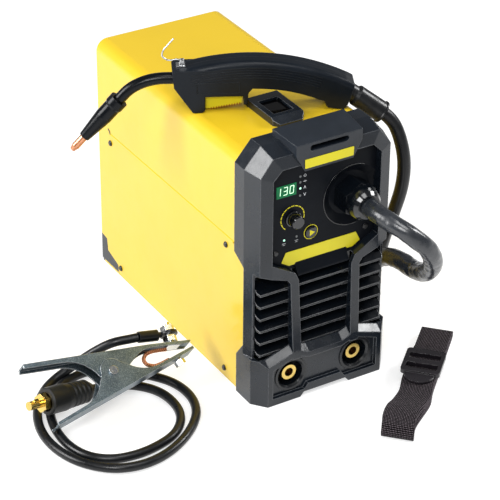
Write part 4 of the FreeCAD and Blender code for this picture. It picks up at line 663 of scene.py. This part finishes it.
def mirrored(half):
    """A closed outline from its half on one side of the middle."""
    return [*half, *((-x, z) for x, z in reversed(half))]


def rounded_outline(corners, radius, steps=5):
    """An outline with its corners rounded."""
    outline = []
    count = len(corners)
    for i in range(count):
        here = Vector(corners[i])
        back = (Vector(corners[i - 1]) - here).normalized()
        on = (Vector(corners[(i + 1) % count]) - here).normalized()
        half = back.angle(on) / 2
        start = here + back * radius / math.tan(half)
        end = here + on * radius / math.tan(half)
        for k in range(steps + 1):
            t = k / steps
            outline.append(tuple(start * (1 - t) ** 2 + here * 2 * t * (1 - t) + end * t ** 2))
    return outline


# ---- Operators ----

class WELDER_OT_stage(bpy.types.Operator):
    """Set up the pale floor, the soft studio light and the camera"""

    bl_idname = "welder.stage"
    bl_label = "Stage"

    # Name, place, power in watts and width
    LAMPS = (
        ("left", (-1.60, 0.50, 1.00), 34, 0.9),
        ("key", (-1.10, -1.20, 1.40), 19, 0.7),
        ("right", (1.50, -0.35, 1.15), 22, 0.6),
        ("top", (-0.05, -0.75, 1.90), 12, 0.8),
    )
    AIM = Vector((0, 0, 0.14))
    WORLD_LIGHT = 0.22
    FLOOR_HALF = 25
    FLOOR_TONES = ((0.50, 0.50, 0.50), (0.53, 0.53, 0.53))
    FLOOR_GLOW = 0.60
    CAMERA_SPOT = (-1.0208, -1.6958, 1.2761)
    AZIMUTH, ELEVATION, ROLL = math.radians(-31.36), math.radians(31.21), math.radians(0.57)
    LENS = 156.8
    SENSOR = 36
    CLIP_END = 30

    def execute(self, context):
        self.floor()
        self.light(context)
        self.camera(context)
        context.scene.view_settings.view_transform = "Standard"
        return {"FINISHED"}

    def floor(self):
        tree, shader = new_finish("studio_floor")
        fed(tree, shader, {"Base Color": mottled(tree, place(tree), 2, 4, *self.FLOOR_TONES),
                           "Emission Color": WHITE, "Emission Strength": self.FLOOR_GLOW, "Roughness": 0.6})
        corners = [(x * self.FLOOR_HALF, y * self.FLOOR_HALF, FLOOR_Z)
                   for x, y in ((-1, -1), (1, -1), (1, 1), (-1, 1))]
        ground = put("floor", mesh_of("floor", corners, [(0, 1, 2, 3)]))
        ground.data.materials.append(finish_of("studio_floor"))

    def light(self, context):
        world = bpy.data.worlds.new("studio")
        world.use_nodes = True
        sky = world.node_tree.nodes["Background"]
        fed(world.node_tree, sky, {"Color": WHITE, "Strength": self.WORLD_LIGHT})
        context.scene.world = world
        for name, spot, power, wide in self.LAMPS:
            lamp = bpy.data.lights.new(name, "AREA")
            lamp.energy = power
            lamp.size = wide
            made = put(name, lamp)
            made.location = spot
            made.rotation_euler = (self.AIM - Vector(spot)).to_track_quat("-Z", "Y").to_euler()

    def camera(self, context):
        flat, up = math.cos(self.ELEVATION), math.sin(self.ELEVATION)
        back = Vector((math.sin(self.AZIMUTH) * flat, -math.cos(self.AZIMUTH) * flat, up))
        level = Vector((0, 0, 1)).cross(back).normalized()
        upright = back.cross(level)
        right = level * math.cos(self.ROLL) + upright * math.sin(self.ROLL)
        data = bpy.data.cameras.new("camera")
        data.lens = self.LENS
        data.sensor_width = self.SENSOR
        data.clip_end = self.CLIP_END
        made = put("camera", data)
        made.matrix_world = Matrix((right, back.cross(right), back)).transposed().to_4x4()
        made.location = self.CAMERA_SPOT
        context.scene.camera = made


class WELDER_OT_finishes(bpy.types.Operator):
    """Make the finishes and put them on the machine's own solids"""

    bl_idname = "welder.finishes"
    bl_label = "Finishes"

    WEARS = {
        "case_yellow": ("base_pan", "top_cover", "side_panel_left", "side_panel_right", "spool_door"),
        "bezel_black": ("front_bezel", "rear_panel", "window_frame", "fan_frame", "fan_rotor", "mains_gland",
                        "power_switch_body", "door_latch"),
        "louvre_black": ("louvre_grille",),
        "hood_grey": ("front_hood",),
        "panel_grey": ("control_panel",),
        "knob_black": ("amp_knob", "select_button"),
        "socket_black": ("socket_bodies", "wire_spool", "pressure_arm"),
        "gland_black": ("torch_gland_body",),
        "nut_gloss": ("torch_gland_nut",),
        "torch_black": ("torch_handle_left", "torch_handle_right"),
        "trigger_yellow": ("torch_trigger",),
        "neck_black": ("torch_neck", "torch_nozzle"),
        "tip_copper": ("contact_tip",),
        "plain_steel": ("torch_hook", "torch_hook_clip", "drive_roll", "pressure_roll", "feed_motor"),
        "screw_black": ("case_screws", "door_hinge_leaves"),
        "zinc_sheet": ("divider_plate", "feed_base"),
        "brass": ("socket_contacts", "earth_plug_pin"),
        "lead_rubber": ("torch_boot",),
        "plug_rubber": ("earth_plug_body",),
        "clamp_zinc": ("clamp_lower_arm", "clamp_upper_arm"),
        "bolt_steel": ("clamp_pivot", "clamp_upper_contact", "clamp_lower_contact"),
        "shrink_black": ("clamp_lug",),
        "braid_copper": ("clamp_braid",),
        "buckle_black": ("strap_buckle",),
        "board_green": ("power_board",),
        "rocker_red": ("power_rocker",),
        "window_dark": ("window_pane",),
        "display_green": ("display_window",),
        "lamp_clear": ("indicator_lamps",),
    }

    def execute(self, context):
        self.make(colours())
        for finish, names in self.WEARS.items():
            for name in names:
                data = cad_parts[name].data
                data.materials.clear()
                data.materials.append(finish_of(finish))
        return {"FINISHED"}

    def make(self, colour):
        black, plate = tuple(colour.moulded), tuple(colour.plate)
        powder_coat("case_yellow", tuple(colour.case))
        # The bezel's and louvres' edges are lightened strongly, mostly as a painted highlight.
        plastic("bezel_black", black, 0.24, edge=0.0014, shine=0.5, rub_and_highlight=1.5)
        plastic("louvre_black", tinted(black, 0.5), 0.22, edge=0.0012, shine=0.5, rub_and_highlight=2.6)
        plastic("hood_grey", tinted(black, 1.3), 0.40, edge=0.0012, shine=0.5)
        plastic("panel_grey", tuple(colour.panel), 0.36, edge=0.0006, shine=0.07)
        plastic("knob_black", tinted(black, 0.3), 0.14, edge=0.0005, coat=0.8, shine=0.3)
        plastic("socket_black", tinted(black, 0.4), 0.26, edge=0.0005, shine=0.5)
        plastic("gland_black", tinted(black, 0.4), 0.22, edge=0.0010, coat=0.2, shine=0.2)
        plastic("nut_gloss", tinted(black, 0.4), 0.12, grain=0.00002, edge=0.0012, coat=0.6, shine=0.4)
        plastic("torch_black", tinted(black, 0.8), 0.34, edge=0.0014, shine=0.18)
        plastic("trigger_yellow", plate, 0.4, edge=0.0006, cast=0.05)
        # Trigger ridges: the trigger's yellow darkened to amber as painted shade on the teeth.
        plastic("tooth_painted_shade", (0.34, 0.115, 0.004), 0.45, edge=0.0002, cast=0.1)
        plastic("seam_yellow", (0.68, 0.50, 0.002), 0.6, edge=0.0002, cast=0.04, shine=0.1)
        plastic("neck_black", tinted(black, 0.3), 0.24, shine=0.20)
        plastic("shrink_black", tinted(black, 0.4), 0.30)
        plastic("buckle_black", tinted((0.012, 0.010, 0.013), 0.9), 0.28, edge=0.0010, shine=0.5)
        plastic("rocker_red", (0.55, 0.03, 0.02), 0.25)
        plastic("board_green", (0.02, 0.12, 0.05), 0.4)
        plastic("lamp_clear", (0.13, 0.14, 0.14), 0.2, edge=0.0003)
        plastic("screw_black", (0.004, 0.004, 0.005), 0.28, edge=0.0005, shine=0.5)
        plastic("print_white", (0.62, 0.64, 0.66), 0.5, edge=0.0001, cast=0.05)
        plastic("print_yellow", plate, 0.45, edge=0.0001, cast=0.04)
        plastic("plate_yellow", plate, 0.35, edge=0.0004, cast=0.05)
        metal("tip_copper", (0.72, 0.33, 0.18), 0.3)
        metal("plain_steel", (0.62, 0.63, 0.64), 0.28)
        metal("bolt_steel", (0.80, 0.82, 0.82), 0.16)
        metal("zinc_sheet", (0.55, 0.56, 0.57), 0.4, brushed=(1, 0.05, 1))
        metal("brass", (0.74, 0.53, 0.16), 0.20)
        galvanised("clamp_zinc")
        rubber("lead_rubber", (0.0045, 0.0052, 0.0064), 0.32)
        rubber("plug_rubber", (0.0125, 0.0130, 0.0125), 0.46)
        rubber("sleeve_rubber", (0.016, 0.019, 0.024), 0.25, shine=0.75)
        copper_braid("braid_copper")
        woven_webbing("webbing_black")
        dark_glass("window_dark", (0.002, 0.002, 0.0025), 0.93)
        display_glass("display_green")
        lit("digit_glow", (0.62, 0.95, 0.66), 0.95)
        lit("lamp_glow", (0.45, 0.95, 0.70), 1.1)


class WELDER_OT_torch_lead(bpy.types.Operator):
    """Lay the torch lead: its creased sleeve, the wound spare length and the rise to the torch"""

    bl_idname = "welder.torch_lead"
    bl_label = "Torch lead"

    # The coil: its quarter turns, their points, and how far each quarter and layer is from the last
    IN_QUARTERS = 4
    CLIMB_QUARTERS = 2
    OUT_QUARTERS = 5
    POINTS_A_QUARTER = 4
    START_RADIUS = 0.088
    STEP = 0.0045
    LAYER = 0.0147
    SPLINE_PULL = 0.7

    # The sleeve: distance between rings, how much a tight ring bends, and the least creasing
    RING = 0.0014
    TIGHT_BEND = 0.00005
    SLACK = 0.22
    OUTSIDE = 0.25
    ROUND = 0.8
    # Each set of creases: its depth, how close along the sleeve and around it, and where it starts
    BROAD = (0.7, 30, 1.0, (0, 0, 0))
    FOLDS = (1.2, 85, 1.1, (5, 0, 3))
    RIPPLES = (0.4, 210, 1.6, (0, 7, 0))

    # The cuff's section: back from the sleeve's end, and out past its radius
    CUFF = ((0.012, -0.0001), (0.009, 0.0003), (0.001, 0.0003), (0.0, -0.0005))

    def coil_route(self, low):
        """In along the floor, up a layer on the inside, and out again on top."""
        quarters = self.IN_QUARTERS + self.CLIMB_QUARTERS + self.OUT_QUARTERS
        pull = math.cos(math.pi / 4 / self.POINTS_A_QUARTER) ** self.SPLINE_PULL
        route = []
        for i in range(quarters * self.POINTS_A_QUARTER + 1):
            quarter = i / self.POINTS_A_QUARTER
            past = quarter - self.IN_QUARTERS
            drawn = min(quarter, self.IN_QUARTERS) - max(0.0, past - self.CLIMB_QUARTERS)
            climb = min(1.0, max(0.0, past / self.CLIMB_QUARTERS))
            height = low + self.LAYER * climb * climb * (3 - 2 * climb)
            radius = (self.START_RADIUS - self.STEP * drawn) / pull
            turn = math.pi - quarter * math.pi / 2
            route.append((COIL_CENTRE[0] + radius * math.cos(turn), COIL_CENTRE[1] + radius * math.sin(turn),
                          height))
        return route

    def creases(self, along, around, pattern):
        """How deep one set of creases is at a spot of the sleeve."""
        deep, pace, spread, (a, b, c) = pattern
        spot = Vector((along * pace + a, around.x * spread + b, around.y * spread + c))
        return deep * abs(noise.noise(spot))

    def sleeve(self, size):
        """The sleeve creases across itself, most where it bends."""
        line = stepped(centreline(SLEEVE_ROUTE), self.RING)
        radius = size.sleeve / 2

        def radius_at(i, turn, out, bend):
            along = i * self.RING
            tight = min(1.0, bend.length / self.TIGHT_BEND)
            inside = max(0.0, out.dot(bend.normalized())) if bend.length > 1e-9 else 0.0
            around = Vector((math.cos(turn), math.sin(turn), 0)) * self.ROUND
            broad, fold, ripple = (self.creases(along, around, pattern) for pattern in
                                   (self.BROAD, self.FOLDS, self.RIPPLES))
            drawn = self.SLACK + (1 - self.SLACK) * tight * (self.OUTSIDE + (1 - self.OUTSIDE) * inside)
            return radius - size.crease * (broad * (0.5 + 0.5 * drawn) + drawn * (fold + ripple))

        made = piece_from("lead_sleeve", hose_mesh("lead_sleeve", line, radius_at), "sleeve_rubber", MACHINE)
        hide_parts("torch_lead_sleeve")
        return made, line

    def cuff(self, line, size):
        """The moulded ring that closes the sleeve's far end."""
        end = line[-1]
        run = (end - line[-4]).normalized()
        spots = [end - run * back for back, _ in self.CUFF]
        radii = [size.sleeve / 2 + past for _, past in self.CUFF]
        mesh = hose_mesh("sleeve_cuff", spots, lambda i, turn, out, bend: radii[i])
        return piece_from("sleeve_cuff", mesh, "lead_rubber", MACHINE)

    def execute(self, context):
        size = sizes()
        sleeve, line = self.sleeve(size)
        cuff = self.cuff(line, size)
        start = Vector(SLEEVE_END) + Vector((0, 0, LEAD_REST - SLEEVE_END[2]))
        route = [tuple(start), (start.x, COIL_ENTRY_Y, start.z), *self.coil_route(start.z), *UPPER_ROUTE]
        lead = cord_curve("torch_lead", route, size.lead, "lead_rubber")
        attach(lead, MACHINE)
        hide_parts("torch_lead_coil", "torch_lead_upper")
        length_of(centreline(route))
        return {"FINISHED"}


class WELDER_OT_earth_lead(bpy.types.Operator):
    """Lay the earth lead in its two loops, from the clamp's lug to the plug"""

    bl_idname = "welder.earth_lead"
    bl_label = "Earth lead"

    def execute(self, context):
        size = sizes()
        start = Vector(LUG_EXIT)
        side = (Vector(EARTH_ROUTE[0]) - start).normalized()
        route = [tuple(start), tuple(start + side * LUG_STRAIGHT), *EARTH_ROUTE,
                 tuple(PLUG_REAR - PLUG_TURN * PLUG_STRAIGHT), tuple(PLUG_REAR)]
        lead = cord_curve("earth_cable", route, size.earth_lead, "lead_rubber")
        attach(lead, MACHINE)
        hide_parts("earth_lead")
        length_of(centreline(route))
        return {"FINISHED"}


class WELDER_OT_torch_details(bpy.types.Operator):
    """Add the grip's raised lines, the frame on the handle's head and the trigger's ridges"""

    bl_idname = "welder.torch_details"
    bl_label = "Torch details"

    # Where the torch lies on the lid; the rest is along, across and up from there
    LID_SPOT = (-0.0633, -0.0173, 0.272)
    TURN = math.radians(-26.77)
    SIDE = 0.014
    GRIP_CENTRE = (0.0504, -0.1713)
    GRIP_RADIUS = 0.2260
    GRIP_START, GRIP_SWEEP = math.radians(70.0), math.radians(35.0)
    GRIP_LINES = 5
    FIRST_LINE = 0.0062
    TEETH = 12
    TOOTH_START = (0.0153, 0, 0.0018)
    TOOTH_STEP = (0.0026, 0, 0.00042)
    HEAD_FRAME = ((0.0010, 0.0215), (0.0430, 0.0215), (0.0430, 0.0330), (0.0010, 0.0330))
    FRAME_CORNER = 0.0008

    def execute(self, context):
        size = sizes()
        lid = Matrix.Translation(self.LID_SPOT) @ Matrix.Rotation(self.TURN, 4, "Z")
        upright = Matrix.Rotation(math.pi / 2, 4, "X")
        for name, side in (("grip_lines_left", -self.SIDE), ("grip_lines_right", self.SIDE)):
            at = lid @ Matrix.Translation((self.GRIP_CENTRE[0], side, self.GRIP_CENTRE[1])) @ upright
            grown(name, arc_row_tree(),
                  {"Bars": self.GRIP_LINES, "Spacing": size.grip_pitch,
                   "Radius": self.GRIP_RADIUS - self.FIRST_LINE, "Start": self.GRIP_START,
                   "Sweep": self.GRIP_SWEEP, "Bar": size.grip_line, "Finish": finish_of("torch_black")},
                  at, MACHINE)
        teeth = lid @ Matrix.Translation(self.TOOTH_START)
        # The ridges take the amber painted-shade finish.
        grown("trigger_ridges", block_row_tree(),
              {"Blocks": self.TEETH, "Step": self.TOOTH_STEP, "Block": size.tooth[:],
               "Finish": finish_of("tooth_painted_shade")}, teeth, "torch_trigger")
        self.head_frame(lid, size)
        return {"FINISHED"}

    def head_frame(self, lid, size):
        """A thin raised frame on the near side of the handle's head."""
        corners = rounded_outline(self.HEAD_FRAME, self.FRAME_CORNER, 3)
        line = [lid @ Vector((s, -self.SIDE, h)) for s, h in corners]
        line.append(line[0])
        mesh = hose_mesh("head_panel_line", line, lambda i, turn, out, bend: size.grip_line, 8)
        piece_from("head_panel_line", mesh, "torch_black", MACHINE)


class WELDER_OT_panel_marks(bpy.types.Operator):
    """Print the control panel: digits, lamp signs, dial arc, button ring and bare plates"""

    bl_idname = "welder.panel_marks"
    bl_label = "Panel marks"

    # Places are in millimetres across and up the panel
    DIGITS = (("1", -50.8), ("3", -43.0), ("0", -35.8))
    DIGIT_LEVEL = 237.8
    DIGIT_SIZE = (4.1, 8.2, 0.95)
    LAMP_X = -26.0
    LAMP_HEIGHTS = (249.0, 242.6, 236.0, 228.0)
    MODE_LAMPS = (-43.4, -29.0)
    MODE_LEVEL = 182.5
    LIT_LAMPS = ((LAMP_X, LAMP_HEIGHTS[2]), (MODE_LAMPS[0], MODE_LEVEL))
    LAMP_LIGHT = 1.1
    SIGN_ACROSS = 5.4
    SIGN_RING = (1.1, 1.5)
    CROSS, CROSS_UPRIGHT, UPRIGHT_LIFT = (4.0, 0.4), (0.5, 2.2), 0.1
    STROKE, STROKE_ASIDE, STROKE_LEAN = (0.55, 3.2), 0.6, 0.35
    CROSSBAR, CROSSBAR_DROP = (1.5, 0.5), 0.5
    MODE_LINES = ((178.4, 3.6, 0.4), (176.6, 2.4, 0.4))
    KNOB = (-34.0, 205.0)
    FLUTES = 24
    FLUTE_BACK = 0.62
    # Rings have an inner and an outer radius; the dial's dashes a count, first angle, pitch and sweep
    DIAL_RING = (12.8, 13.8)
    DASHES = (15, 232, 19.2, 15.5)
    BUTTON = (-12.4, 183.0)
    BUTTON_RING = (7.4, 8.1)
    BUTTON_SIGN = ((-2.3, -3.5), (3.7, 0.0), (-2.3, 3.5))
    DISH = (35.0, 212.0)
    DISH_RIM = (33.0, 33.9, 66, 304)
    # Plates, as the half of their outline on one side of the middle
    PLATE_HALF = ((27.6, 263.0), (28.0, 272.6))
    PLATE_CORNER = 0.6
    STRIP_HALF = ((-41.0, 167.4), (-46.0, 157.0), (-37.5, 151.6), (-31.0, 151.6), (-29.5, 153.6))
    STRIP_CORNER = 0.8

    def execute(self, context):
        size = sizes()
        self.digits(size)
        self.signs(size)
        self.flutes(size)
        self.rings(size)
        self.lamps(size)
        self.plates(size)
        return {"FINISHED"}

    def digits(self, size):
        marks = []
        for character, x in self.DIGITS:
            marks += digit_marks(character, x, self.DIGIT_LEVEL, *self.DIGIT_SIZE)
        printed("display_digits", marks, "digit_glow", PANEL_Y - WINDOW_PROUD, size.mark)

    def leaning(self, x, z, turn):
        """Two strokes that lean towards each other, or apart."""
        return [box_mark(x - self.STROKE_ASIDE, z, *self.STROKE, turn),
                box_mark(x + self.STROKE_ASIDE, z, *self.STROKE, -turn)]

    def signs(self, size):
        """Small generic signs beside the lamps: a ring, a cross, and the unit letters A and V."""
        x = self.LAMP_X + self.SIGN_ACROSS
        ring, cross, amps, volts = self.LAMP_HEIGHTS
        marks = arc_marks(x, ring, *self.SIGN_RING, 0, 360, 16)
        marks += [box_mark(x, cross, *self.CROSS),
                  box_mark(x, cross + self.UPRIGHT_LIFT, *self.CROSS_UPRIGHT)]
        marks += [*self.leaning(x, amps, -self.STROKE_LEAN),
                  box_mark(x, amps - self.CROSSBAR_DROP, *self.CROSSBAR)]
        marks += self.leaning(x, volts, self.STROKE_LEAN)
        marks += [box_mark(low_x, *line) for low_x in self.MODE_LAMPS for line in self.MODE_LINES]
        printed("panel_signs", marks, "print_white", PANEL_Y, size.mark)

    def flutes(self, size):
        """The flutes round the knob's grip."""
        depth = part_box("amp_knob")[0].y + size.flute_long * self.FLUTE_BACK
        at = Matrix.Translation((self.KNOB[0] / 1000, depth, self.KNOB[1] / 1000))
        grown("knob_flutes", ring_row_tree(),
              {"Bars": self.FLUTES, "Radius": size.flute_ring, "Bar": size.flute, "Depth": size.flute_long,
               "Finish": finish_of("knob_black")}, at @ Matrix.Rotation(math.pi / 2, 4, "X"), "amp_knob")

    def rings(self, size):
        """The dial's dashes, the button's ring and sign, and the rim of the gland's dish."""
        dashes, first, pitch, sweep = self.DASHES
        marks = []
        for i in range(dashes):
            start = first - i * pitch
            marks += arc_marks(*self.KNOB, *self.DIAL_RING, start, start - sweep, 4)
        marks += arc_marks(*self.BUTTON, *self.BUTTON_RING, 0, 360, 40)
        printed("panel_rings", marks, "print_yellow", PANEL_Y, size.mark)
        printed("dish_rim", arc_marks(*self.DISH, *self.DISH_RIM, 80), "nut_gloss", PANEL_Y, size.rim)
        x, z = self.BUTTON
        triangle = [(x + across, z + up) for across, up in self.BUTTON_SIGN]
        printed("button_sign", [triangle], "print_yellow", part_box("select_button")[0].y, size.mark,
                "select_button")

    def lamps(self, size):
        marks = [disc_mark(x, z, self.LAMP_LIGHT) for x, z in self.LIT_LAMPS]
        printed("lamp_lights", marks, "lamp_glow", PANEL_Y - LAMP_PROUD, size.mark)

    def plates(self, size):
        """The two yellow plates, both bare."""
        plate = rounded_outline(mirrored(self.PLATE_HALF), self.PLATE_CORNER)
        printed("hood_plate", [plate], "plate_yellow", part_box("front_hood")[0].y, size.plate)
        strip = rounded_outline(mirrored(self.STRIP_HALF), self.STRIP_CORNER, 3)
        printed("panel_strip", [strip], "plate_yellow", PANEL_Y, size.plate)


class WELDER_OT_case_seam(bpy.types.Operator):
    """Show the folded edge along the left side's seam, and the notch where it starts"""

    bl_idname = "welder.case_seam"
    bl_label = "Case seam"

    # All in millimetres; the notch is back from the seam's rear end, and up
    REAR = 142.0
    LEVEL = 172.0
    TALL = 1.1
    BEZEL_GAP = 0.5
    NOTCH = ((0.0, 170.8), (-1.2, 173.6), (-4.8, 175.6), (-3.6, 177.0), (0.4, 175.4), (1.2, 171.2))

    def execute(self, context):
        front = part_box("front_bezel")[1].y * 1000 + self.BEZEL_GAP
        half = (self.REAR - front) / 2
        edge = box_mark(-self.REAR + half, self.LEVEL, 2 * half, self.TALL)
        notch = [(-self.REAR + back, z) for back, z in self.NOTCH]
        self.on_side("seam_edge", edge, "seam_yellow", sizes().mark)
        self.on_side("seam_notch", notch, "screw_black", sizes().mark * 2)
        return {"FINISHED"}

    def on_side(self, name, mark, finish, thickness):
        """A mark given in (-y, z) millimetres, on the face that looks towards -X."""
        made = printed(name, [mark], finish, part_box("side_panel_left")[0].x, thickness)
        made.data.transform(Matrix.Rotation(-math.pi / 2, 4, "Z"))


class WELDER_OT_strap(bpy.types.Operator):
    """Fold the carrying strap's webbing into its flat stack"""

    bl_idname = "welder.strap"
    bl_label = "Strap"

    NEAR = (0.0130, -0.2846)
    TURN = math.radians(43.5)
    LONG = 0.200
    WIDE = 0.033
    COLUMNS = 25

    # The stack: the layers in the order in which the webbing runs through them
    ORDER = (2, 3, 1, 4, 0, 5)
    FIRST_HEIGHT = 0.00105
    PITCH = 0.0023
    ROUND = 0.0070
    LOOSE_END = 0.153
    RUN_STEPS = 60
    FOLD_STEPS = 12

    # Its humps: how high or wide, where along it, and over what length
    BULGE, BULGE_AT, BULGE_WIDE = 0.0052, 0.026, 0.024
    SWAY = 0.0042
    SWAYS = ((1.0, 0.024, 0.022), (-0.45, 0.070, 0.014))
    WANDER = 0.0007
    WANDER_PACE = (14, 500, 4)

    def path(self):
        """The rolled-flat stack seen from the side: (along, up) for the middle of the webbing."""
        near, far = self.ROUND, self.LONG - self.ROUND
        points = []
        for turn, (layer, following) in enumerate(zip(self.ORDER, (*self.ORDER[1:], None))):
            towards_near = turn % 2 == 0
            first, last = (far, near) if towards_near else (near, far)
            if following is None:
                last = self.LOOSE_END
            for i in range(self.RUN_STEPS + 1):
                along = first + (last - first) * i / self.RUN_STEPS
                points.append((along, self.height(layer) + self.lift(along, layer)))
            if following is None:
                continue
            reach = (self.height(following) - self.height(layer)) / 2
            side = -1 if towards_near else 1
            for k in range(1, self.FOLD_STEPS):
                turned = -math.pi / 2 + math.pi * k / self.FOLD_STEPS
                level = layer + (following - layer) * k / self.FOLD_STEPS
                up = self.height(layer) + reach + reach * math.sin(turned) + self.lift(last, level)
                points.append((last + side * abs(reach) * math.cos(turned), up))
        return points

    def height(self, layer):
        return self.FIRST_HEIGHT + layer * self.PITCH

    def hump(self, along, at, wide):
        return math.exp(-((along - at) / wide) ** 2)

    def lift(self, along, layer):
        """The upper layers stand off a little before the near folds."""
        loose = max(0.0, (layer - 1) / (len(self.ORDER) - 2)) ** 1.5
        return self.BULGE * loose * self.hump(along, self.BULGE_AT, self.BULGE_WIDE)

    def sway(self, along):
        """How far the stack's near half leans aside."""
        return self.SWAY * sum(share * self.hump(along, at, wide) for share, at, wide in self.SWAYS)

    def wander(self, along, up):
        """How far the webbing's layers stray from each other."""
        pace, layer_pace, row = self.WANDER_PACE
        return noise.noise(Vector((along * pace, up * layer_pace, row))) * self.WANDER

    def execute(self, context):
        path, columns = self.path(), self.COLUMNS
        lying = Matrix.Translation((*self.NEAR, 0)) @ Matrix.Rotation(self.TURN, 4, "Z")
        points, faces, along_uv = [], [], []
        travelled = 0.0
        for i, (along, up) in enumerate(path):
            if i:
                travelled += math.dist(path[i], path[i - 1])
            for k in range(columns):
                across = -self.WIDE / 2 + self.WIDE * k / (columns - 1)
                aside = across + self.wander(along, up) + self.sway(along)
                points.append(lying @ Vector((along, aside, up)))
                along_uv.append((travelled, across))
        for i in range(len(path) - 1):
            for k in range(columns - 1):
                a = i * columns + k
                faces.append((a, a + 1, a + 1 + columns, a + columns))
        mesh = mesh_of("strap_web", points, faces, True)
        weave = mesh.uv_layers.new(name="weave")
        for loop in mesh.loops:
            weave.data[loop.index].uv = along_uv[loop.vertex_index]
        made = piece_from("strap_web", mesh, "webbing_black", MACHINE)
        solid = made.modifiers.new("thickness", "SOLIDIFY")
        solid.thickness = sizes().webbing
        solid.offset = 0
        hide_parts("strap_webbing")
        return {"FINISHED"}


class WELDER_PT_panel(bpy.types.Panel):
    """The welding machine's pieces, in the order in which they are made"""

    bl_label = "Welding machine"
    bl_idname = "WELDER_PT_panel"
    bl_space_type = "VIEW_3D"
    bl_region_type = "UI"
    bl_category = "Welder"

    def draw(self, context):
        for group in (sizes(), colours()):
            for name in group.bl_rna.properties.keys():
                if name not in ("rna_type", "name"):
                    self.layout.prop(group, name)
        for step in STEPS:
            self.layout.operator(step.bl_idname)


STEPS = (WELDER_OT_stage, WELDER_OT_finishes, WELDER_OT_torch_lead, WELDER_OT_earth_lead,
         WELDER_OT_torch_details, WELDER_OT_panel_marks, WELDER_OT_case_seam, WELDER_OT_strap)
CLASSES = (WelderSizes, WelderColours, *STEPS, WELDER_PT_panel)


def register():
    for made in CLASSES:
        bpy.utils.register_class(made)
    bpy.types.Scene.welder_sizes = PointerProperty(type=WelderSizes)
    bpy.types.Scene.welder_colours = PointerProperty(type=WelderColours)


def unregister():
    del bpy.types.Scene.welder_colours
    del bpy.types.Scene.welder_sizes
    for made in reversed(CLASSES):
        bpy.utils.unregister_class(made)


def main():
    register()
    bpy.ops.welder.stage()
    bpy.ops.welder.finishes()
    bpy.ops.welder.torch_lead()
    bpy.ops.welder.earth_lead()
    bpy.ops.welder.torch_details()
    bpy.ops.welder.panel_marks()
    bpy.ops.welder.case_seam()
    bpy.ops.welder.strap()


if __name__ == "__main__":
    main()
